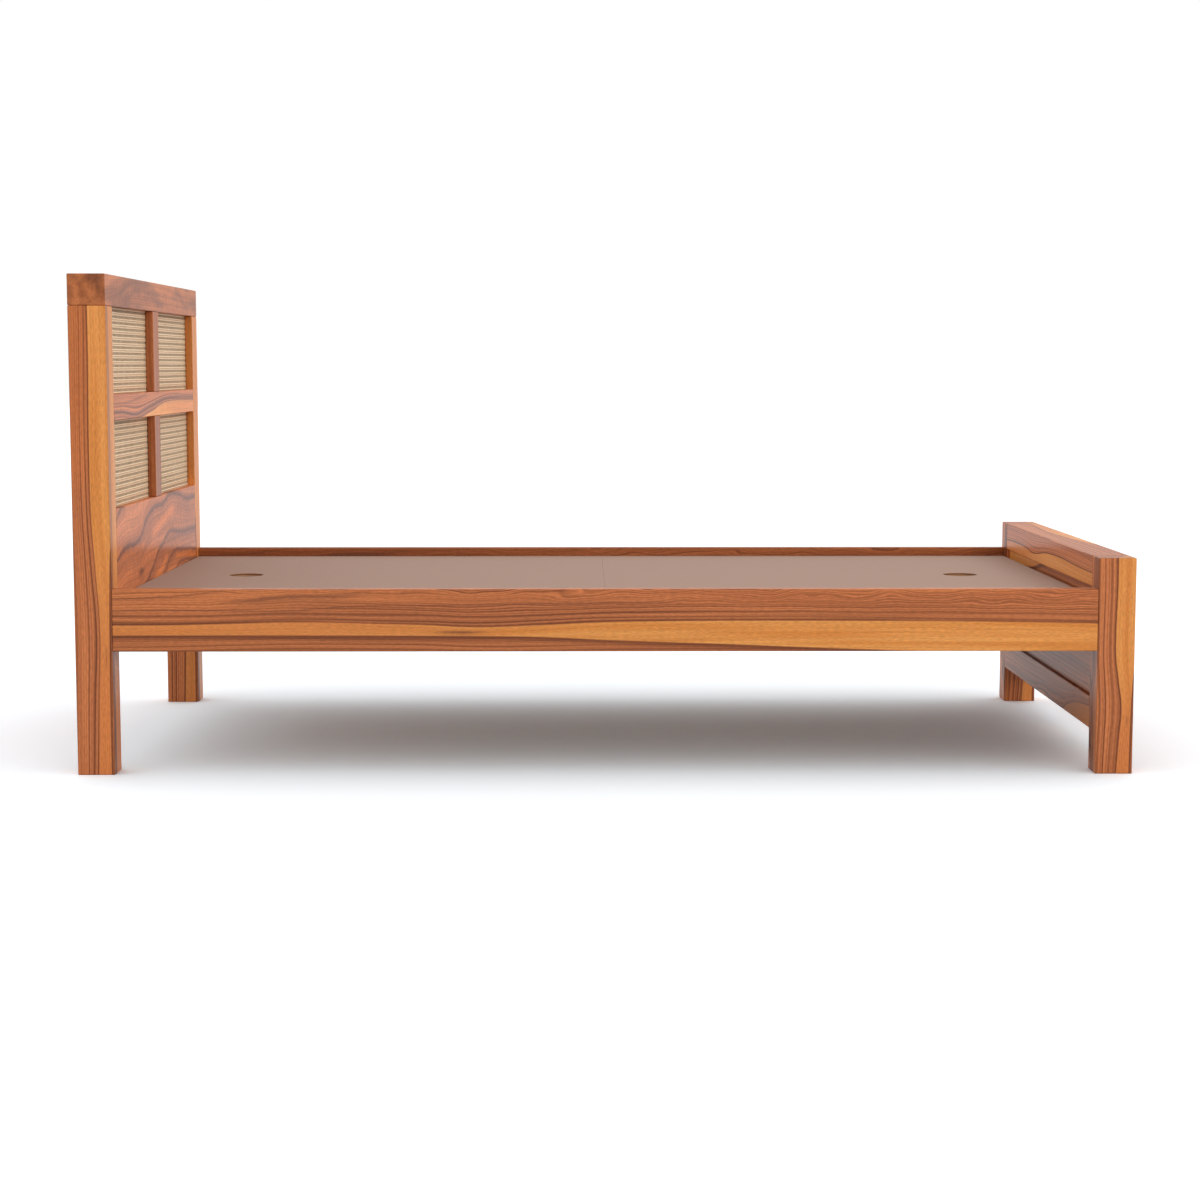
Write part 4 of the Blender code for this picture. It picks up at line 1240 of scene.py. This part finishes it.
# %% Screw heads
HEAD_SIDES = 14
HEAD_TAPER = 0.86


def screw_heads():
    """The tree that copies a screw head onto points, each with its cross turned another way."""
    tree, given = new_grower(
        "screw_heads", Radius="Float", Rise="Float", Cross_Length="Float", Cross_Width="Float",
        Cross_Depth="Float", Seed="Int", Material="Material")
    head = add(tree, "GeometryNodeMeshCone", {
        "Vertices": HEAD_SIDES, "Radius Top": times(tree, given["Radius"], HEAD_TAPER),
        "Radius Bottom": given["Radius"], "Depth": given["Rise"]})
    cut = add(tree, "GeometryNodeMeshBoolean", {0: head.outputs[0]}, operation="DIFFERENCE")
    slot_height = times(tree, given["Cross_Depth"], 2.0)
    for x, y in (("Cross_Length", "Cross_Width"), ("Cross_Width", "Cross_Length")):
        block = add(tree, "GeometryNodeMeshCube", {"Size": vector(tree, given[x], given[y], slot_height)})
        raised = add(tree, "GeometryNodeTransform", {
            "Geometry": block.outputs[0], "Translation": vector(tree, z=given["Rise"])})
        tree.links.new(raised.outputs[0], cut.inputs[1])
    facing = add(tree, "GeometryNodeInputNamedAttribute", {"Name": "facing"}, data_type="FLOAT_VECTOR")
    towards = add(tree, "FunctionNodeAlignRotationToVector", {"Vector": facing.outputs[0]}, axis="Z")
    turn = add(tree, "FunctionNodeRandomValue", {
        "Max": 2 * math.pi, "Seed": given["Seed"]}, data_type="FLOAT").outputs[1]
    spin = add(tree, "FunctionNodeRotateRotation", {
        0: towards.outputs[0], 1: vector(tree, z=turn)}, rotation_space="LOCAL")
    copies = add(tree, "GeometryNodeInstanceOnPoints", {
        "Points": given["Geometry"], "Instance": cut.outputs[0], "Rotation": spin.outputs[0]})
    end_grower(tree, copies.outputs[0], given["Material"])
    return tree


SCREW_HEADS = screw_heads()
print("screw tree has", len(SCREW_HEADS.nodes), "nodes")

# %% [markdown]
# ## Driving the screws
# The places of the screws follow from the boxes of the ledgers, cleats and bearers: evenly along each
# ledger and cleat, and two at each end of a bearer, over the middle of the ledger.

# %% Screws
HEAD_RADIUS = 0.0042
HEAD_RISE = 0.00025
CROSS_LENGTH = 0.0046
CROSS_WIDTH = 0.0009
CROSS_DEPTH = 0.0002
LEDGER_SCREWS = 7
CLEAT_SCREWS = 5
SCREW_INSET = 0.06
BEARER_SCREW_STEP = 0.036
SCREW_SEED = 3


def evenly(low, high, count):
    """Places from one inset to the other."""
    first = low + SCREW_INSET
    step = (high - low - 2 * SCREW_INSET) / (count - 1)
    return [first + step * number for number in range(count)]


screw_places = []
for side, inward in INWARD.items():
    low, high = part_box("ledger_" + side)
    face = high[1] if inward > 0 else low[1]
    for x in evenly(low[0], high[0], LEDGER_SCREWS):
        screw_places.append(((x, face, (low[2] + high[2]) / 2), (0, inward, 0)))
    ledger_middle = (low[1] + high[1]) / 2
    for bearer in BEARERS:
        bearer_low, bearer_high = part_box(bearer)
        for shift in (-BEARER_SCREW_STEP / 2, BEARER_SCREW_STEP / 2):
            x = (bearer_low[0] + bearer_high[0]) / 2 + shift
            screw_places.append(((x, ledger_middle, bearer_high[2]), (0, 0, 1)))
for cleat, inward in (("head_cleat", 1), ("foot_cleat", -1)):
    low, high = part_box(cleat)
    face = high[0] if inward > 0 else low[0]
    for y in evenly(low[1], high[1], CLEAT_SCREWS):
        screw_places.append(((face, y, (low[2] + high[2]) / 2), (inward, 0, 0)))

screw_points = bpy.data.meshes.new("screw_points")
screw_points.from_pydata([place for place, _ in screw_places], [], [])
facings = screw_points.attributes.new("facing", "FLOAT_VECTOR", "POINT")
for item, (_, direction) in zip(facings.data, screw_places):
    item.vector = direction
screws = grown(
    "deck_screws", SCREW_HEADS, screw_points, Radius=HEAD_RADIUS, Rise=HEAD_RISE,
    Cross_Length=CROSS_LENGTH, Cross_Width=CROSS_WIDTH, Cross_Depth=CROSS_DEPTH, Seed=SCREW_SEED,
    Material=STEEL)
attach(screws, "bed_frame")
print(len(screw_places), "screws,", len(screws.data.polygons), "faces")

# %% [markdown]
# ## Studio floor
# The photograph is lit like a white studio: the floor burns out to white, and only the floor under the
# bed, which sees little of the surround, stays grey. More light would burn the bed out too. So the floor
# reflects light like pale grey paint, and only to the camera and in the lacquer and the metal does it
# look overexposed.

# %% Studio floor
FLOOR_REACH = 40.0
FLOOR_GREY = 0.60
FLOOR_SHOWN = (1.19, 1.26, 1.31)

floor_shape = bmesh.new()
bmesh.ops.create_grid(floor_shape, x_segments=1, y_segments=1, size=FLOOR_REACH)
floor_mesh = bpy.data.meshes.new("studio_floor")
floor_shape.to_mesh(floor_mesh)
floor_shape.free()
floor = bpy.data.objects.new("studio_floor", floor_mesh)
bpy.context.scene.collection.objects.link(floor)
floor_paint = bpy.data.materials.new("studio_floor")
floor_paint.use_nodes = True
floor_tree = floor_paint.node_tree
floor_tree.nodes.clear()
seen_by = add(floor_tree, "ShaderNodeLightPath").outputs
shown = calc(floor_tree, "MAXIMUM", seen_by["Is Camera Ray"], seen_by["Is Glossy Ray"])
shown = calc(floor_tree, "MAXIMUM", shown, seen_by["Is Transmission Ray"])
grey = (FLOOR_GREY, FLOOR_GREY, FLOOR_GREY, 1.0)
tone = mix(floor_tree, shown, grey, (*FLOOR_SHOWN, 1.0))
paint = add(floor_tree, "ShaderNodeBsdfDiffuse", {"Color": tone})
add(floor_tree, "ShaderNodeOutputMaterial", {"Surface": paint.outputs[0]})
floor_mesh.materials.append(floor_paint)
print("floor reaches", FLOOR_REACH, "m each way")

# %% [markdown]
# ## Surround and softbox
# Light comes evenly from all around, so the world is an even white. A ring of lamps could do that too,
# but each would leave its own shadow. One softbox off the foot, on the near side, models the edges. It
# would light one side of the floor more than the other, so light linking keeps it off the floor, and the
# shadow under the bed stays even.

# %% Surround and softbox
SOFTBOX_PLACE = (4.8, -5.0, 3.8)
SOFTBOX_AIM = (0, 0, 0.4)
SOFTBOX_WIDTH = 3.6
SOFTBOX_HEIGHT = 3.0
SOFTBOX_WATTS = 150

world = bpy.data.worlds.new("white_surround")
bpy.context.scene.world = world
world.use_nodes = True
world.node_tree.nodes.clear()
surround = add(world.node_tree, "ShaderNodeBackground", {"Color": (1, 1, 1, 1), "Strength": 1.0})
add(world.node_tree, "ShaderNodeOutputWorld", {"Surface": surround.outputs[0]})

lamp = bpy.data.lights.new("foot_side_softbox", "AREA")
lamp.shape = "RECTANGLE"
lamp.size = SOFTBOX_WIDTH
lamp.size_y = SOFTBOX_HEIGHT
lamp.energy = SOFTBOX_WATTS
softbox = bpy.data.objects.new("foot_side_softbox", lamp)
softbox.location = SOFTBOX_PLACE
aim = Vector(SOFTBOX_AIM) - Vector(SOFTBOX_PLACE)
softbox.rotation_euler = aim.to_track_quat("-Z", "Y").to_euler()
bpy.context.scene.collection.objects.link(softbox)
unlit = bpy.data.collections.new("unlit_by_softbox")
unlit.objects.link(floor)
softbox.light_linking.receiver_collection = unlit
unlit.collection_objects[0].light_linking.link_state = "EXCLUDE"
print("softbox of", SOFTBOX_WATTS, "W is", round(aim.length, 1), "m from the bed")
